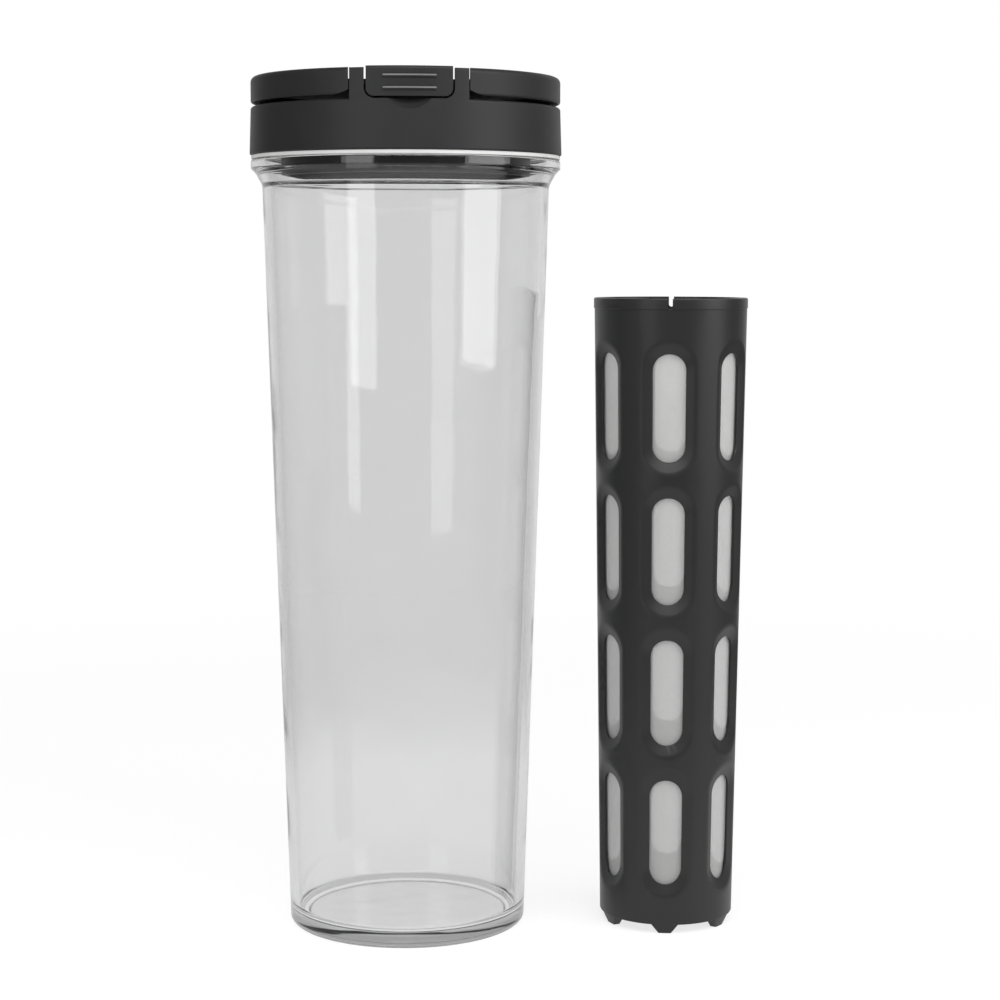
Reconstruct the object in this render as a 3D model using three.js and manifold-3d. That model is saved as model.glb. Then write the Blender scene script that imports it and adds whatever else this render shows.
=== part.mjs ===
// A cold brew coffee pitcher: a clear tapered jar, a two-tier screw lid with a latched flip cap,
// and its removable filter basket, which stands beside the jar. Millimetres, +Z up, front at -Y.
import * as THREE from 'three';
import { mergeVertices } from 'three/addons/utils/BufferGeometryUtils.js';
import Module from 'manifold-3d';

// Driving dimensions of the jar
const JAR_BASE_RADIUS = 40.2;
const JAR_SHOULDER_RADIUS = 48.1;
const JAR_SHOULDER_HEIGHT = 250;
const JAR_WALL = 3.1;
const JAR_FLOOR = 5;
const JAR_FLOOR_FILLET = 3.2;
const FOOT_ROUND = 2.6;
const FOOT_RING_WIDTH = 3.4;
const FOOT_RECESS = 0.8;
const FLARE_RADIUS = 10.5;
const FLARE_HEIGHT = 7.5;
const FLANGE_EDGE = 3.7;
const FLANGE_CHAMFER = 1.1;
const FLANGE_INSET = 0.35;
const FLANGE_TOP_EDGE = 0.4;
const NECK_HEIGHT = 10.1;
const NECK_WALL = 2;

// Driving dimensions of the screw thread
const THREAD_PITCH = 4;
const THREAD_DEPTH = 1.2;
const THREAD_ROOT_WIDTH = 1.9;
const THREAD_CREST_WIDTH = 0.9;
const THREAD_CLEARANCE = 0.4;
const JAR_THREAD_TURNS = 1.5;
const LID_THREAD_TURNS = 1;
const THREAD_START = 2.4;
const THREAD_RUN_OUT = 25;

// Driving dimensions of the lid
const COLLAR_WALL = 3;
const COLLAR_TAPER = 0.5;
const COLLAR_LIFT = 0.4;
const COLLAR_ROOF = 2.9;
const COLLAR_OPENING_RADIUS = 41;
const COLLAR_EDGE = 0.8;
const DECK_THICKNESS = 2.5;
const DECK_LIFT = 0.4;
const PLUG_DEPTH = 16.1;
const PLUG_WALL = 2;
const PLUG_TO_JAR = 3.2;
const GASKET_HEIGHT = 1.3;
const GASKET_WIDTH = 2.2;
const GASKET_INSET = 0.15;
const GASKET_SEAT = 0.1;
const SOCKET_DEPTH = 9;
const SOCKET_WALL = 2;
const SOCKET_CLEARANCE = 0.45;
const SOCKET_KEY_HEIGHT = 2.8;
const POUR_LENGTH = 20;
const POUR_MARGIN = 1;
const POUR_WALL = 1.5;
const POUR_WALL_HEIGHT = 5.4;
const SPLIT_GAP = 1.2;

// Driving dimensions of the ears, the flip cap and its hinge
const EAR_INNER = 14.35;
const EAR_WIDTH = 4.6;
const EAR_DEPTH = 3.7;
const EAR_DROP = 0.2;
const CAP_HEIGHT = 8.7;
const CAP_WALL = 2.8;
const CAP_EDGE_ROUND = 1.8;
const CAP_LOWER_EDGE = 0.8;
const CAP_DISH_DEPTH = 3.4;
const CAP_FLOOR = 2;
const CAP_EAR_GAP = 0.3;
const CAP_FRONT_CUT = 8.2;
const CAP_RELIEF_LENGTH = 8;
const CAP_RELIEF_RISE = 1.6;
const HINGE_INSET = 5;
const HINGE_RISE = 2.4;
const HINGE_PIN_RADIUS = 1.1;
const HINGE_LUG_RADIUS = 2.3;
const HINGE_LUG_INNER = 13;
const HINGE_LUG_WIDTH = 4;
const HINGE_GAP = 0.4;
const STOPPER_MARGIN = 0.6;

// Driving dimensions of the latch and its catch
const LATCH_SIDE_GAP = 0.75;
const LATCH_BOTTOM_GAP = 0.7;
const LATCH_PROUD = 0.3;
const LATCH_THICKNESS = 2.8;
const LATCH_CORNER = 2.5;
const LATCH_PIN_INSET = 5.8;
const LATCH_PIN_DROP = 2.5;
const LATCH_PIN_RADIUS = 0.9;
const LATCH_KNUCKLE_RADIUS = 1.8;
const LATCH_KNUCKLE_INNER = 8.8;
const LATCH_KNUCKLE_WIDTH = 4;
const RIDGE_LENGTH = 17;
const RIDGE_HEIGHT = 1.3;
const RIDGE_PROUD = 0.5;
const RIDGE_DROPS = [2.8, 6.7];
const SCOOP_WIDTH = 15.2;
const SCOOP_HEIGHT = 3.2;
const SCOOP_REACH = 8.5;
const CATCH_WIDTH = 18;
const CATCH_THICKNESS = 1.3;
const CATCH_HEIGHT = 3.6;
const CATCH_INSET = 5.6;
const CATCH_BEAD = 0.8;
const CATCH_BEAD_HEIGHT = 0.8;
const HOOK_HEIGHT = 1.3;
const HOOK_WIDTH = 15;

// Driving dimensions of the filter basket
const FILTER_HEIGHT = 214.3;
const FILTER_BASE_RADIUS = 22.7;
const FILTER_TOP_RADIUS = 25.85;
const FILTER_WALL = 2.2;
const FILTER_COLUMNS = 6;
const FILTER_ROWS = 4;
const RIM_HEIGHT = 3.6;
const RIM_PROUD = 0.2;
const RIM_EDGE = 0.5;
const NOTCH_WIDTH = 1.7;
const NOTCH_DEPTH = 3.5;
const FOOT_HEIGHT = 3.1;
const FOOT_TOP_WIDTH = 9;
const FOOT_BOTTOM_WIDTH = 4.2;
const FOOT_DRAW_IN = 1.3;
const FOOT_THICKNESS = 2.2;
const WINDOW_TOP_BAND = 18.3;
const WINDOW_BOTTOM_BAND = 16.8;
const WINDOW_LAND = 11.9;
const WINDOW_WIDTH = 12;
const RECESS_SIDE = 3;
const RECESS_END = 3.9;
const RECESS_DEPTH = 1.5;
const BASKET_LIP_RADIUS = 15.5;
const BASKET_LIP_HEIGHT = 1.5;
const MESH_THICKNESS = 0.5;
const MESH_CLEARANCE = 0.5;
const MESH_TOP_DROP = 8;
const MESH_FLOOR_THICKNESS = 0.6;

// Where the basket stands beside the jar
const FILTER_SPACING = 89.45;
const FILTER_FORWARD = 4.4;
const FILTER_TURN_DEGREES = -8.2;

// Clearance between pieces that seat on each other, and the reach of a cut past its surface
const SEAT = 0.3;
const OVERCUT = 1;
const ROUND_SEGMENTS = 48;
const WINDOW_END_STEPS = 8;
const PIN_SEGMENTS = 20;
const CORNER_STEPS = 3;

// Heights and radii worked out from the driving dimensions
const basketSegments = FILTER_COLUMNS * (WINDOW_END_STEPS - 2);
const wallSlope = (JAR_SHOULDER_RADIUS - JAR_BASE_RADIUS) / JAR_SHOULDER_HEIGHT;
const jarOuter = (z) => JAR_BASE_RADIUS + wallSlope * z;
const jarInner = (z) => jarOuter(z) - JAR_WALL;
const flangeTop = JAR_SHOULDER_HEIGHT + FLARE_HEIGHT + FLANGE_EDGE;
const neckTop = flangeTop + NECK_HEIGHT;
const neckRadius = jarInner(neckTop) + NECK_WALL;
const collarBore = neckRadius + THREAD_DEPTH + THREAD_CLEARANCE;
const lidRadius = collarBore + COLLAR_WALL;
const capRadius = lidRadius - COLLAR_TAPER;
const collarBottom = flangeTop + COLLAR_LIFT;
const deckBottom = neckTop + DECK_LIFT;
const deckTop = deckBottom + DECK_THICKNESS;
const roofBottom = deckTop + SEAT;
const collarTop = roofBottom + COLLAR_ROOF;
const capBottom = collarTop + SPLIT_GAP;
const capTop = capBottom + CAP_HEIGHT;
const dishTop = capTop - CAP_DISH_DEPTH;
const dishBottom = dishTop - CAP_FLOOR;
const plugBottom = deckBottom - PLUG_DEPTH;
const flangeRadius = lidRadius - FLANGE_INSET;
const gasketOuter = flangeRadius - GASKET_INSET;
const gasketInner = gasketOuter - GASKET_WIDTH;
const gasketTop = collarBottom - GASKET_SEAT;
const gasketBottom = gasketTop - GASKET_HEIGHT;
const plugRadius = jarInner(plugBottom) - PLUG_TO_JAR;
const plugBore = plugRadius - PLUG_WALL;
const rimRadius = FILTER_TOP_RADIUS + RIM_PROUD;
const socketBore = rimRadius + SOCKET_CLEARANCE;
const socketRadius = socketBore + SOCKET_WALL;
const pourWidth = plugBore - socketRadius - 2 * POUR_MARGIN;
const pourY = -(plugBore + socketRadius) / 2;
const pourWallTop = deckTop + POUR_WALL_HEIGHT;
const earOuter = EAR_INNER + EAR_WIDTH;
const hingeY = capRadius - HINGE_INSET;
const hingeZ = capBottom + HINGE_RISE;
const hingeLugOuter = HINGE_LUG_INNER + HINGE_LUG_WIDTH;
const latchHalf = EAR_INNER - LATCH_SIDE_GAP;
const latchBottom = collarTop + LATCH_BOTTOM_GAP;
const latchTop = capTop + LATCH_PROUD;
const latchY = -(capRadius - LATCH_PIN_INSET);
const latchZ = capTop - LATCH_PIN_DROP;
const latchKnuckleOuter = LATCH_KNUCKLE_INNER + LATCH_KNUCKLE_WIDTH;
const catchFront = -(capRadius - CATCH_INSET);
const catchTop = collarTop + CATCH_HEIGHT;
const basketHeight = FILTER_HEIGHT - FOOT_HEIGHT;
const basketSlope = (FILTER_TOP_RADIUS - FILTER_BASE_RADIUS) / basketHeight;
const basketOuter = (z) => FILTER_BASE_RADIUS + basketSlope * (z - FOOT_HEIGHT);
const basketInner = (z) => basketOuter(z) - FILTER_WALL;
const lipTop = FOOT_HEIGHT + BASKET_LIP_HEIGHT;
const meshBottom = lipTop + SEAT + MESH_FLOOR_THICKNESS + SEAT;
const jarX = -(FILTER_SPACING + rimRadius - lidRadius) / 2;
const filterX = jarX + FILTER_SPACING;

const wasm = await Module();
wasm.setup();

// Merged vertices, no collapsed triangles, faces pointing out
function closed(geometry) {
  geometry.deleteAttribute('normal');
  geometry.deleteAttribute('uv');
  const merged = mergeVertices(geometry, 1e-4);
  const index = merged.index.array;
  const position = merged.getAttribute('position');
  const corners = [new THREE.Vector3(), new THREE.Vector3(), new THREE.Vector3()];
  const kept = [];
  let volume = 0;
  for (let i = 0; i < index.length; i += 3) {
    const [a, b, c] = [index[i], index[i + 1], index[i + 2]];
    if (a === b || b === c || c === a) continue;
    kept.push(a, b, c);
    [a, b, c].forEach((vertex, k) => corners[k].fromBufferAttribute(position, vertex));
    volume += corners[0].dot(corners[1].cross(corners[2]));
  }
  if (volume < 0) kept.reverse();
  merged.setIndex(kept);
  return merged;
}

function toSolid(geometry) {
  const vertProperties = new Float32Array(geometry.getAttribute('position').array);
  const triVerts = new Uint32Array(geometry.index.array);
  return new wasm.Manifold(new wasm.Mesh({ numProp: 3, vertProperties, triVerts }));
}

function toGeometry(solid) {
  const { vertProperties, triVerts } = solid.getMesh();
  const geometry = new THREE.BufferGeometry();
  geometry.setAttribute('position', new THREE.BufferAttribute(new Float32Array(vertProperties), 3));
  geometry.setIndex(Array.from(triVerts));
  return geometry;
}

// A ring or disc turned about Z from [radius, height] points; it closes on itself or on the axis
function revolved(profile, segments = ROUND_SEGMENTS) {
  const points = profile.map(([radius, z]) => new THREE.Vector2(radius, z));
  const onAxis = points[0].x === 0 && points.at(-1).x === 0;
  if (!onAxis) points.push(points[0].clone());
  return closed(new THREE.LatheGeometry(points, segments).rotateX(Math.PI / 2));
}

// Points of a round corner of a profile, from one angle to another
function corner(radius, z, round, fromDegrees, toDegrees, steps = CORNER_STEPS) {
  return Array.from({ length: steps + 1 }, (_, i) => {
    const angle = THREE.MathUtils.degToRad(THREE.MathUtils.lerp(fromDegrees, toDegrees, i / steps));
    return [radius + round * Math.cos(angle), z + round * Math.sin(angle)];
  });
}

function block(x0, x1, y0, y1, z0, z1) {
  const geometry = new THREE.BoxGeometry(x1 - x0, y1 - y0, z1 - z0);
  return closed(geometry.translate((x0 + x1) / 2, (y0 + y1) / 2, (z0 + z1) / 2));
}

// A round bar along X
function bar(radius, x0, x1, y, z) {
  const geometry = new THREE.CylinderGeometry(radius, radius, x1 - x0, PIN_SEGMENTS);
  return closed(geometry.rotateZ(Math.PI / 2).translate((x0 + x1) / 2, y, z));
}

// An outline drawn in X and Z, extruded along Y
function slab(shape, y0, y1) {
  const options = { depth: y1 - y0, bevelEnabled: false, curveSegments: CORNER_STEPS };
  return closed(new THREE.ExtrudeGeometry(shape, options).rotateX(Math.PI / 2).translate(0, y1, 0));
}

// A round-ended slot outline along X, extruded along Z
function obround(length, width, centreY, z0, z1) {
  const round = width / 2;
  const reach = length / 2 - round;
  const shape = new THREE.Shape();
  shape.absarc(reach, centreY, round, -Math.PI / 2, Math.PI / 2);
  shape.absarc(-reach, centreY, round, Math.PI / 2, 1.5 * Math.PI);
  const options = { depth: z1 - z0, bevelEnabled: false, curveSegments: 8 };
  return closed(new THREE.ExtrudeGeometry(shape, options).translate(0, 0, z0));
}

// A closed body through rings of points, each ring with the same count
function lofted(rings) {
  const count = rings[0].length;
  const vertices = rings.flat().flatMap((point) => point.toArray());
  const faces = [];
  for (let ring = 0; ring + 1 < rings.length; ring += 1) {
    for (let i = 0; i < count; i += 1) {
      const a = ring * count + i;
      const b = ring * count + ((i + 1) % count);
      faces.push(a, b, a + count, b, b + count, a + count);
    }
  }
  const last = (rings.length - 1) * count;
  for (let i = 1; i + 1 < count; i += 1) {
    faces.push(0, i + 1, i);
    faces.push(last, last + i, last + i + 1);
  }
  const geometry = new THREE.BufferGeometry();
  geometry.setAttribute('position', new THREE.Float32BufferAttribute(vertices, 3));
  geometry.setIndex(faces);
  return closed(geometry);
}

function around(radius, degrees, z) {
  const angle = THREE.MathUtils.degToRad(degrees);
  return new THREE.Vector3(radius * Math.sin(angle), -radius * Math.cos(angle), z);
}

// A helical ridge; it sinks into its wall at both ends
function thread(wallRadius, crestSide, startZ, startDegrees, turns) {
  const steps = Math.round(turns * ROUND_SEGMENTS);
  const span = turns * 360;
  const rootRadius = wallRadius - crestSide * THREAD_CLEARANCE;
  const rings = [];
  for (let step = 0; step <= steps; step += 1) {
    const travelled = (span * step) / steps;
    const fade = Math.min(1, travelled / THREAD_RUN_OUT, (span - travelled) / THREAD_RUN_OUT);
    const height = THREAD_CLEARANCE / 2 + fade * (THREAD_DEPTH + THREAD_CLEARANCE / 2);
    const crestRadius = rootRadius + crestSide * height;
    const z = startZ + (THREAD_PITCH * travelled) / 360;
    const at = (radius, dz) => around(radius, startDegrees + travelled, z + dz);
    rings.push([
      at(rootRadius, -THREAD_ROOT_WIDTH / 2),
      at(crestRadius, -THREAD_CREST_WIDTH / 2),
      at(crestRadius, THREAD_CREST_WIDTH / 2),
      at(rootRadius, THREAD_ROOT_WIDTH / 2),
    ]);
  }
  return toSolid(lofted(rings));
}

// Clear jar: rounded foot with a recess, tapered wall, flared flange, threaded neck
function jar() {
  const footRadius = jarOuter(FOOT_ROUND) - FOOT_ROUND;
  const ringInner = footRadius - FOOT_RING_WIDTH;
  const seatTop = gasketBottom - GASKET_SEAT;
  const seatWall = gasketInner - GASKET_SEAT;
  const flareTop = JAR_SHOULDER_HEIGHT + FLARE_HEIGHT;
  const flareSweep = THREE.MathUtils.radToDeg(Math.asin(FLARE_HEIGHT / FLARE_RADIUS));
  const flareX = jarOuter(JAR_SHOULDER_HEIGHT) + FLARE_RADIUS;
  const floorRadius = jarInner(JAR_FLOOR + JAR_FLOOR_FILLET) - JAR_FLOOR_FILLET;
  const body = revolved([
    [0, FOOT_RECESS],
    [ringInner - FOOT_RECESS, FOOT_RECESS],
    [ringInner, 0],
    ...corner(footRadius, FOOT_ROUND, FOOT_ROUND, -90, 0),
    ...corner(flareX, JAR_SHOULDER_HEIGHT, FLARE_RADIUS, 180, 180 - flareSweep),
    [flangeRadius, flareTop + FLANGE_CHAMFER / 2],
    [flangeRadius, seatTop - FLANGE_TOP_EDGE],
    [flangeRadius - FLANGE_TOP_EDGE, seatTop],
    [seatWall, seatTop],
    [seatWall, flangeTop],
    [neckRadius, flangeTop],
    [neckRadius, neckTop],
    [jarInner(neckTop), neckTop],
    ...corner(floorRadius, JAR_FLOOR + JAR_FLOOR_FILLET, JAR_FLOOR_FILLET, 0, -90),
    [0, JAR_FLOOR],
  ]);
  const ridge = thread(neckRadius, 1, flangeTop + THREAD_START, 0, JAR_THREAD_TURNS);
  return toGeometry(toSolid(body).add(ridge));
}

// Screw collar: skirt with an internal thread, roof, front ears, latch catch and rear hinge lugs
function lidCollar() {
  let solid = toSolid(revolved([
    [collarBore, collarBottom],
    [lidRadius, collarBottom],
    [capRadius, collarTop - COLLAR_EDGE],
    [capRadius - COLLAR_EDGE, collarTop],
    [COLLAR_OPENING_RADIUS, collarTop],
    [COLLAR_OPENING_RADIUS, roofBottom],
    [collarBore, roofBottom],
  ]));
  const lidStart = flangeTop + THREAD_START + THREAD_PITCH / 2 - (THREAD_PITCH * LID_THREAD_TURNS) / 2;
  solid = solid.add(thread(collarBore, -1, lidStart, -180 * LID_THREAD_TURNS, LID_THREAD_TURNS));
  const earRing = toSolid(revolved([
    [capRadius - EAR_DEPTH, collarTop - COLLAR_EDGE],
    [capRadius, collarTop - COLLAR_EDGE],
    [capRadius, capTop - EAR_DROP],
    [capRadius - EAR_DEPTH, capTop - EAR_DROP],
  ]));
  for (const side of [-1, 1]) {
    const [earFrom, earTo] = [side * EAR_INNER, side * earOuter].sort((a, b) => a - b);
    const earSpan = toSolid(block(earFrom, earTo, -lidRadius, 0, 0, capTop));
    solid = solid.add(earRing.intersect(earSpan));
    const [lugFrom, lugTo] = [side * HINGE_LUG_INNER, side * hingeLugOuter].sort((a, b) => a - b);
    const lugBack = hingeY + HINGE_LUG_RADIUS;
    const lugFront = hingeY - HINGE_LUG_RADIUS;
    const lugFoot = toSolid(block(lugFrom, lugTo, lugFront, lugBack, collarTop - COLLAR_EDGE, hingeZ));
    solid = solid.add(lugFoot).add(toSolid(bar(HINGE_LUG_RADIUS, lugFrom, lugTo, hingeY, hingeZ)));
  }
  const pinHole = bar(HINGE_PIN_RADIUS + SEAT, -capRadius, capRadius, hingeY, hingeZ);
  solid = solid.subtract(toSolid(pinHole));
  const half = CATCH_WIDTH / 2;
  const catchBack = catchFront + CATCH_THICKNESS;
  const wall = block(-half, half, catchFront, catchBack, collarTop - COLLAR_EDGE, catchTop);
  const beadBottom = catchTop - CATCH_BEAD_HEIGHT;
  const bead = block(-half, half, catchFront - CATCH_BEAD, catchBack, beadBottom, catchTop);
  solid = solid.add(toSolid(wall)).add(toSolid(bead));
  const outline = (SCOOP_WIDTH ** 2 / 4 + SCOOP_HEIGHT ** 2) / (2 * SCOOP_HEIGHT);
  const scoop = new THREE.SphereGeometry(Math.hypot(outline, SCOOP_REACH), 32, 24);
  scoop.translate(0, -capRadius - SCOOP_REACH, collarTop - SCOOP_HEIGHT + outline);
  return toGeometry(solid.subtract(toSolid(closed(scoop))));
}

// Deck insert: plate with the gasket groove, plug, filter socket and pour slot
function lidDeck() {
  const deckRadius = collarBore - SEAT;
  const socketBottom = deckBottom - SOCKET_DEPTH;
  let solid = toSolid(revolved([
    [0, deckBottom],
    [socketBore, deckBottom],
    [socketBore, socketBottom],
    [socketRadius, socketBottom],
    [socketRadius, deckBottom],
    [plugBore, deckBottom],
    [plugBore, plugBottom],
    [plugRadius, plugBottom],
    [plugRadius, deckBottom],
    [deckRadius, deckBottom],
    [deckRadius, deckTop],
    [0, deckTop],
  ]));
  const wallLength = POUR_LENGTH + 2 * POUR_WALL;
  const wallWidth = pourWidth + 2 * POUR_WALL;
  const pourWall = obround(wallLength, wallWidth, pourY, deckTop - DECK_THICKNESS / 2, pourWallTop);
  solid = solid.add(toSolid(pourWall));
  const keyHalf = (NOTCH_WIDTH - 2 * SEAT) / 2;
  for (const side of [-1, 1]) {
    const keyTip = side * (rimRadius - FILTER_WALL / 2);
    const keyRoot = side * (socketBore + SOCKET_WALL / 2);
    const [from, to] = [keyTip, keyRoot].sort((a, b) => a - b);
    const key = block(-keyHalf, keyHalf, from, to, deckBottom - SOCKET_KEY_HEIGHT, deckBottom + OVERCUT);
    solid = solid.add(toSolid(key));
  }
  const slot = obround(POUR_LENGTH, pourWidth, pourY, deckBottom - OVERCUT, pourWallTop + OVERCUT);
  return toGeometry(solid.subtract(toSolid(slot)));
}

// Flat silicone ring on a seat around the jar's flange, pressed by the collar's lower edge
function lidGasket() {
  return revolved([
    [gasketInner, gasketBottom],
    [gasketOuter, gasketBottom],
    [gasketOuter, gasketTop],
    [gasketInner, gasketTop],
  ]);
}

function hingePin() {
  return bar(HINGE_PIN_RADIUS, -hingeLugOuter, hingeLugOuter, hingeY, hingeZ);
}

// Dished cap: rim, floor, front cut for the ears and latch, rear knuckle
function flipCap() {
  const rimInner = capRadius - CAP_WALL;
  const roundZ = capTop - CAP_EDGE_ROUND;
  let solid = toSolid(revolved([
    [0, dishBottom],
    [rimInner, dishBottom],
    [rimInner, capBottom],
    [capRadius - CAP_LOWER_EDGE, capBottom],
    [capRadius, capBottom + CAP_LOWER_EDGE],
    ...corner(capRadius - CAP_EDGE_ROUND, roundZ, CAP_EDGE_ROUND, 0, 90),
    [rimInner, capTop],
    [rimInner, dishTop],
    [0, dishTop],
  ]));
  const low = capBottom - OVERCUT;
  const high = capTop + OVERCUT;
  const reach = capRadius + OVERCUT;
  const frontHalf = earOuter + CAP_EAR_GAP;
  const frontEdge = -(capRadius - CAP_FRONT_CUT);
  solid = solid.subtract(toSolid(block(-frontHalf, frontHalf, -reach, frontEdge, low, high)));
  const rearHalf = hingeLugOuter + HINGE_GAP;
  const rearEdge = hingeY - HINGE_LUG_RADIUS - 3 * HINGE_GAP;
  solid = solid.subtract(toSolid(block(-rearHalf, rearHalf, rearEdge, reach, low, high)));
  for (const side of [-1, 1]) {
    const relief = new THREE.Shape();
    relief.moveTo(side * (frontHalf - OVERCUT), low);
    relief.lineTo(side * (frontHalf + CAP_RELIEF_LENGTH), low);
    relief.lineTo(side * (frontHalf + CAP_RELIEF_LENGTH), capBottom);
    relief.lineTo(side * frontHalf, capBottom + CAP_RELIEF_RISE);
    relief.lineTo(side * (frontHalf - OVERCUT), capBottom + CAP_RELIEF_RISE);
    relief.closePath();
    solid = solid.subtract(toSolid(slab(relief, -reach, frontEdge + CAP_FRONT_CUT)));
  }
  const knuckleHalf = HINGE_LUG_INNER - HINGE_GAP;
  const strap = block(-knuckleHalf, knuckleHalf, rearEdge - OVERCUT, hingeY, dishBottom, dishTop);
  const knuckle = bar(HINGE_LUG_RADIUS, -knuckleHalf, knuckleHalf, hingeY, hingeZ);
  const pinHole = bar(HINGE_PIN_RADIUS + SEAT, -reach, reach, hingeY, hingeZ);
  solid = solid.add(toSolid(strap)).add(toSolid(knuckle)).subtract(toSolid(pinHole));
  const latchKnuckleHalf = LATCH_KNUCKLE_INNER - SEAT;
  const armBottom = latchZ - LATCH_KNUCKLE_RADIUS;
  const arm = block(-latchKnuckleHalf, latchKnuckleHalf, latchY, frontEdge + OVERCUT, armBottom, latchZ);
  const latchKnuckle = bar(LATCH_KNUCKLE_RADIUS, -latchKnuckleHalf, latchKnuckleHalf, latchY, latchZ);
  const latchHole = bar(LATCH_PIN_RADIUS + SEAT, -reach, reach, latchY, latchZ);
  solid = solid.add(toSolid(arm)).add(toSolid(latchKnuckle));
  return toGeometry(solid.subtract(toSolid(latchHole)));
}

// Silicone pad that closes the pour slot from above
function capStopper() {
  const margin = POUR_WALL + STOPPER_MARGIN;
  const length = POUR_LENGTH + 2 * margin;
  return obround(length, pourWidth + 2 * margin, pourY, pourWallTop + SEAT, dishBottom - SEAT);
}

// Latch tab: curved plate with two grip ridges, side knuckles and an inward hook
function latch() {
  const innerRadius = capRadius - LATCH_THICKNESS;
  const ring = (inner, outer, z0, z1) =>
    toSolid(revolved([[inner, z0], [outer, z0], [outer, z1], [inner, z1]]));
  const outline = new THREE.Shape();
  outline.moveTo(-latchHalf, latchTop);
  outline.lineTo(-latchHalf, latchBottom + LATCH_CORNER);
  const cornerX = latchHalf - LATCH_CORNER;
  const cornerZ = latchBottom + LATCH_CORNER;
  outline.absarc(-cornerX, cornerZ, LATCH_CORNER, Math.PI, 1.5 * Math.PI);
  outline.absarc(cornerX, cornerZ, LATCH_CORNER, -Math.PI / 2, 0);
  outline.lineTo(latchHalf, latchTop);
  outline.closePath();
  const plate = ring(innerRadius, capRadius, latchBottom, latchTop);
  let solid = plate.intersect(toSolid(slab(outline, -lidRadius, -capRadius / 2)));
  for (const drop of RIDGE_DROPS) {
    const z = capTop - drop;
    const ridge = ring(innerRadius, capRadius + RIDGE_PROUD, z - RIDGE_HEIGHT / 2, z + RIDGE_HEIGHT / 2);
    const half = RIDGE_LENGTH / 2;
    const span = block(-half, half, -lidRadius - OVERCUT, -innerRadius + OVERCUT / 2, 0, latchTop);
    solid = solid.add(ridge.intersect(toSolid(span)));
  }
  for (const side of [-1, 1]) {
    const ends = [side * LATCH_KNUCKLE_INNER, side * latchKnuckleOuter];
    const [from, to] = ends.sort((a, b) => a - b);
    const armFront = -innerRadius;
    const armTop = latchZ + LATCH_KNUCKLE_RADIUS;
    const arm = block(from, to, armFront, latchY, latchZ - LATCH_KNUCKLE_RADIUS, armTop);
    solid = solid.add(toSolid(arm)).add(toSolid(bar(LATCH_KNUCKLE_RADIUS, from, to, latchY, latchZ)));
  }
  const reach = capRadius;
  solid = solid.subtract(toSolid(bar(LATCH_PIN_RADIUS + SEAT, -reach, reach, latchY, latchZ)));
  const hookTop = catchTop - CATCH_BEAD_HEIGHT - SEAT;
  const hookHalf = HOOK_WIDTH / 2;
  const [hookFront, hookBack] = [-innerRadius - OVERCUT, catchFront - SEAT];
  const hook = block(-hookHalf, hookHalf, hookFront, hookBack, hookTop - HOOK_HEIGHT, hookTop);
  return toGeometry(solid.add(toSolid(hook)));
}

function latchPin() {
  return bar(LATCH_PIN_RADIUS, -latchKnuckleOuter, latchKnuckleOuter, latchY, latchZ);
}

// Round-ended outline wrapped on the basket wall, at an offset from its outer surface
function windowRing(degrees, centreZ, halfWidth, halfHeight, offset) {
  const straight = halfHeight - halfWidth;
  const count = WINDOW_END_STEPS + 1;
  return Array.from({ length: 2 * count }, (_, i) => {
    const end = i < count ? 1 : -1;
    const angle = (Math.PI * (i < count ? i : i - 1)) / WINDOW_END_STEPS;
    const z = centreZ + end * straight + halfWidth * Math.sin(angle);
    const radius = basketOuter(z);
    const turn = THREE.MathUtils.radToDeg((halfWidth * Math.cos(angle)) / radius);
    return around(radius + offset, degrees + turn, z);
  });
}

// Outline of one bay of the wall, with as many points as a window ring
function bayRing(degrees, bottomZ, lowZ, highZ, topZ, offset) {
  const half = 180 / FILTER_COLUMNS;
  const inner = WINDOW_END_STEPS - 2;
  const steps = Array.from({ length: inner + 1 }, (_, i) => half - (2 * half * i) / inner);
  const upper = [[half, highZ], ...steps.map((turn) => [turn, topZ]), [-half, highZ]];
  const lower = [[-half, lowZ], ...steps.map((turn) => [-turn, bottomZ]), [half, lowZ]];
  return [...upper, ...lower].map(([turn, z]) => around(basketOuter(z) + offset, degrees + turn, z));
}

// Triangles between neighbouring rings of equal count, as a flat list of points
function stitched(rings) {
  const triangles = [];
  for (let ring = 0; ring + 1 < rings.length; ring += 1) {
    const [near, far] = [rings[ring], rings[ring + 1]];
    near.forEach((point, i) => {
      const next = (i + 1) % near.length;
      triangles.push(point, near[next], far[i], near[next], far[next], far[i]);
    });
  }
  return triangles;
}

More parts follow.
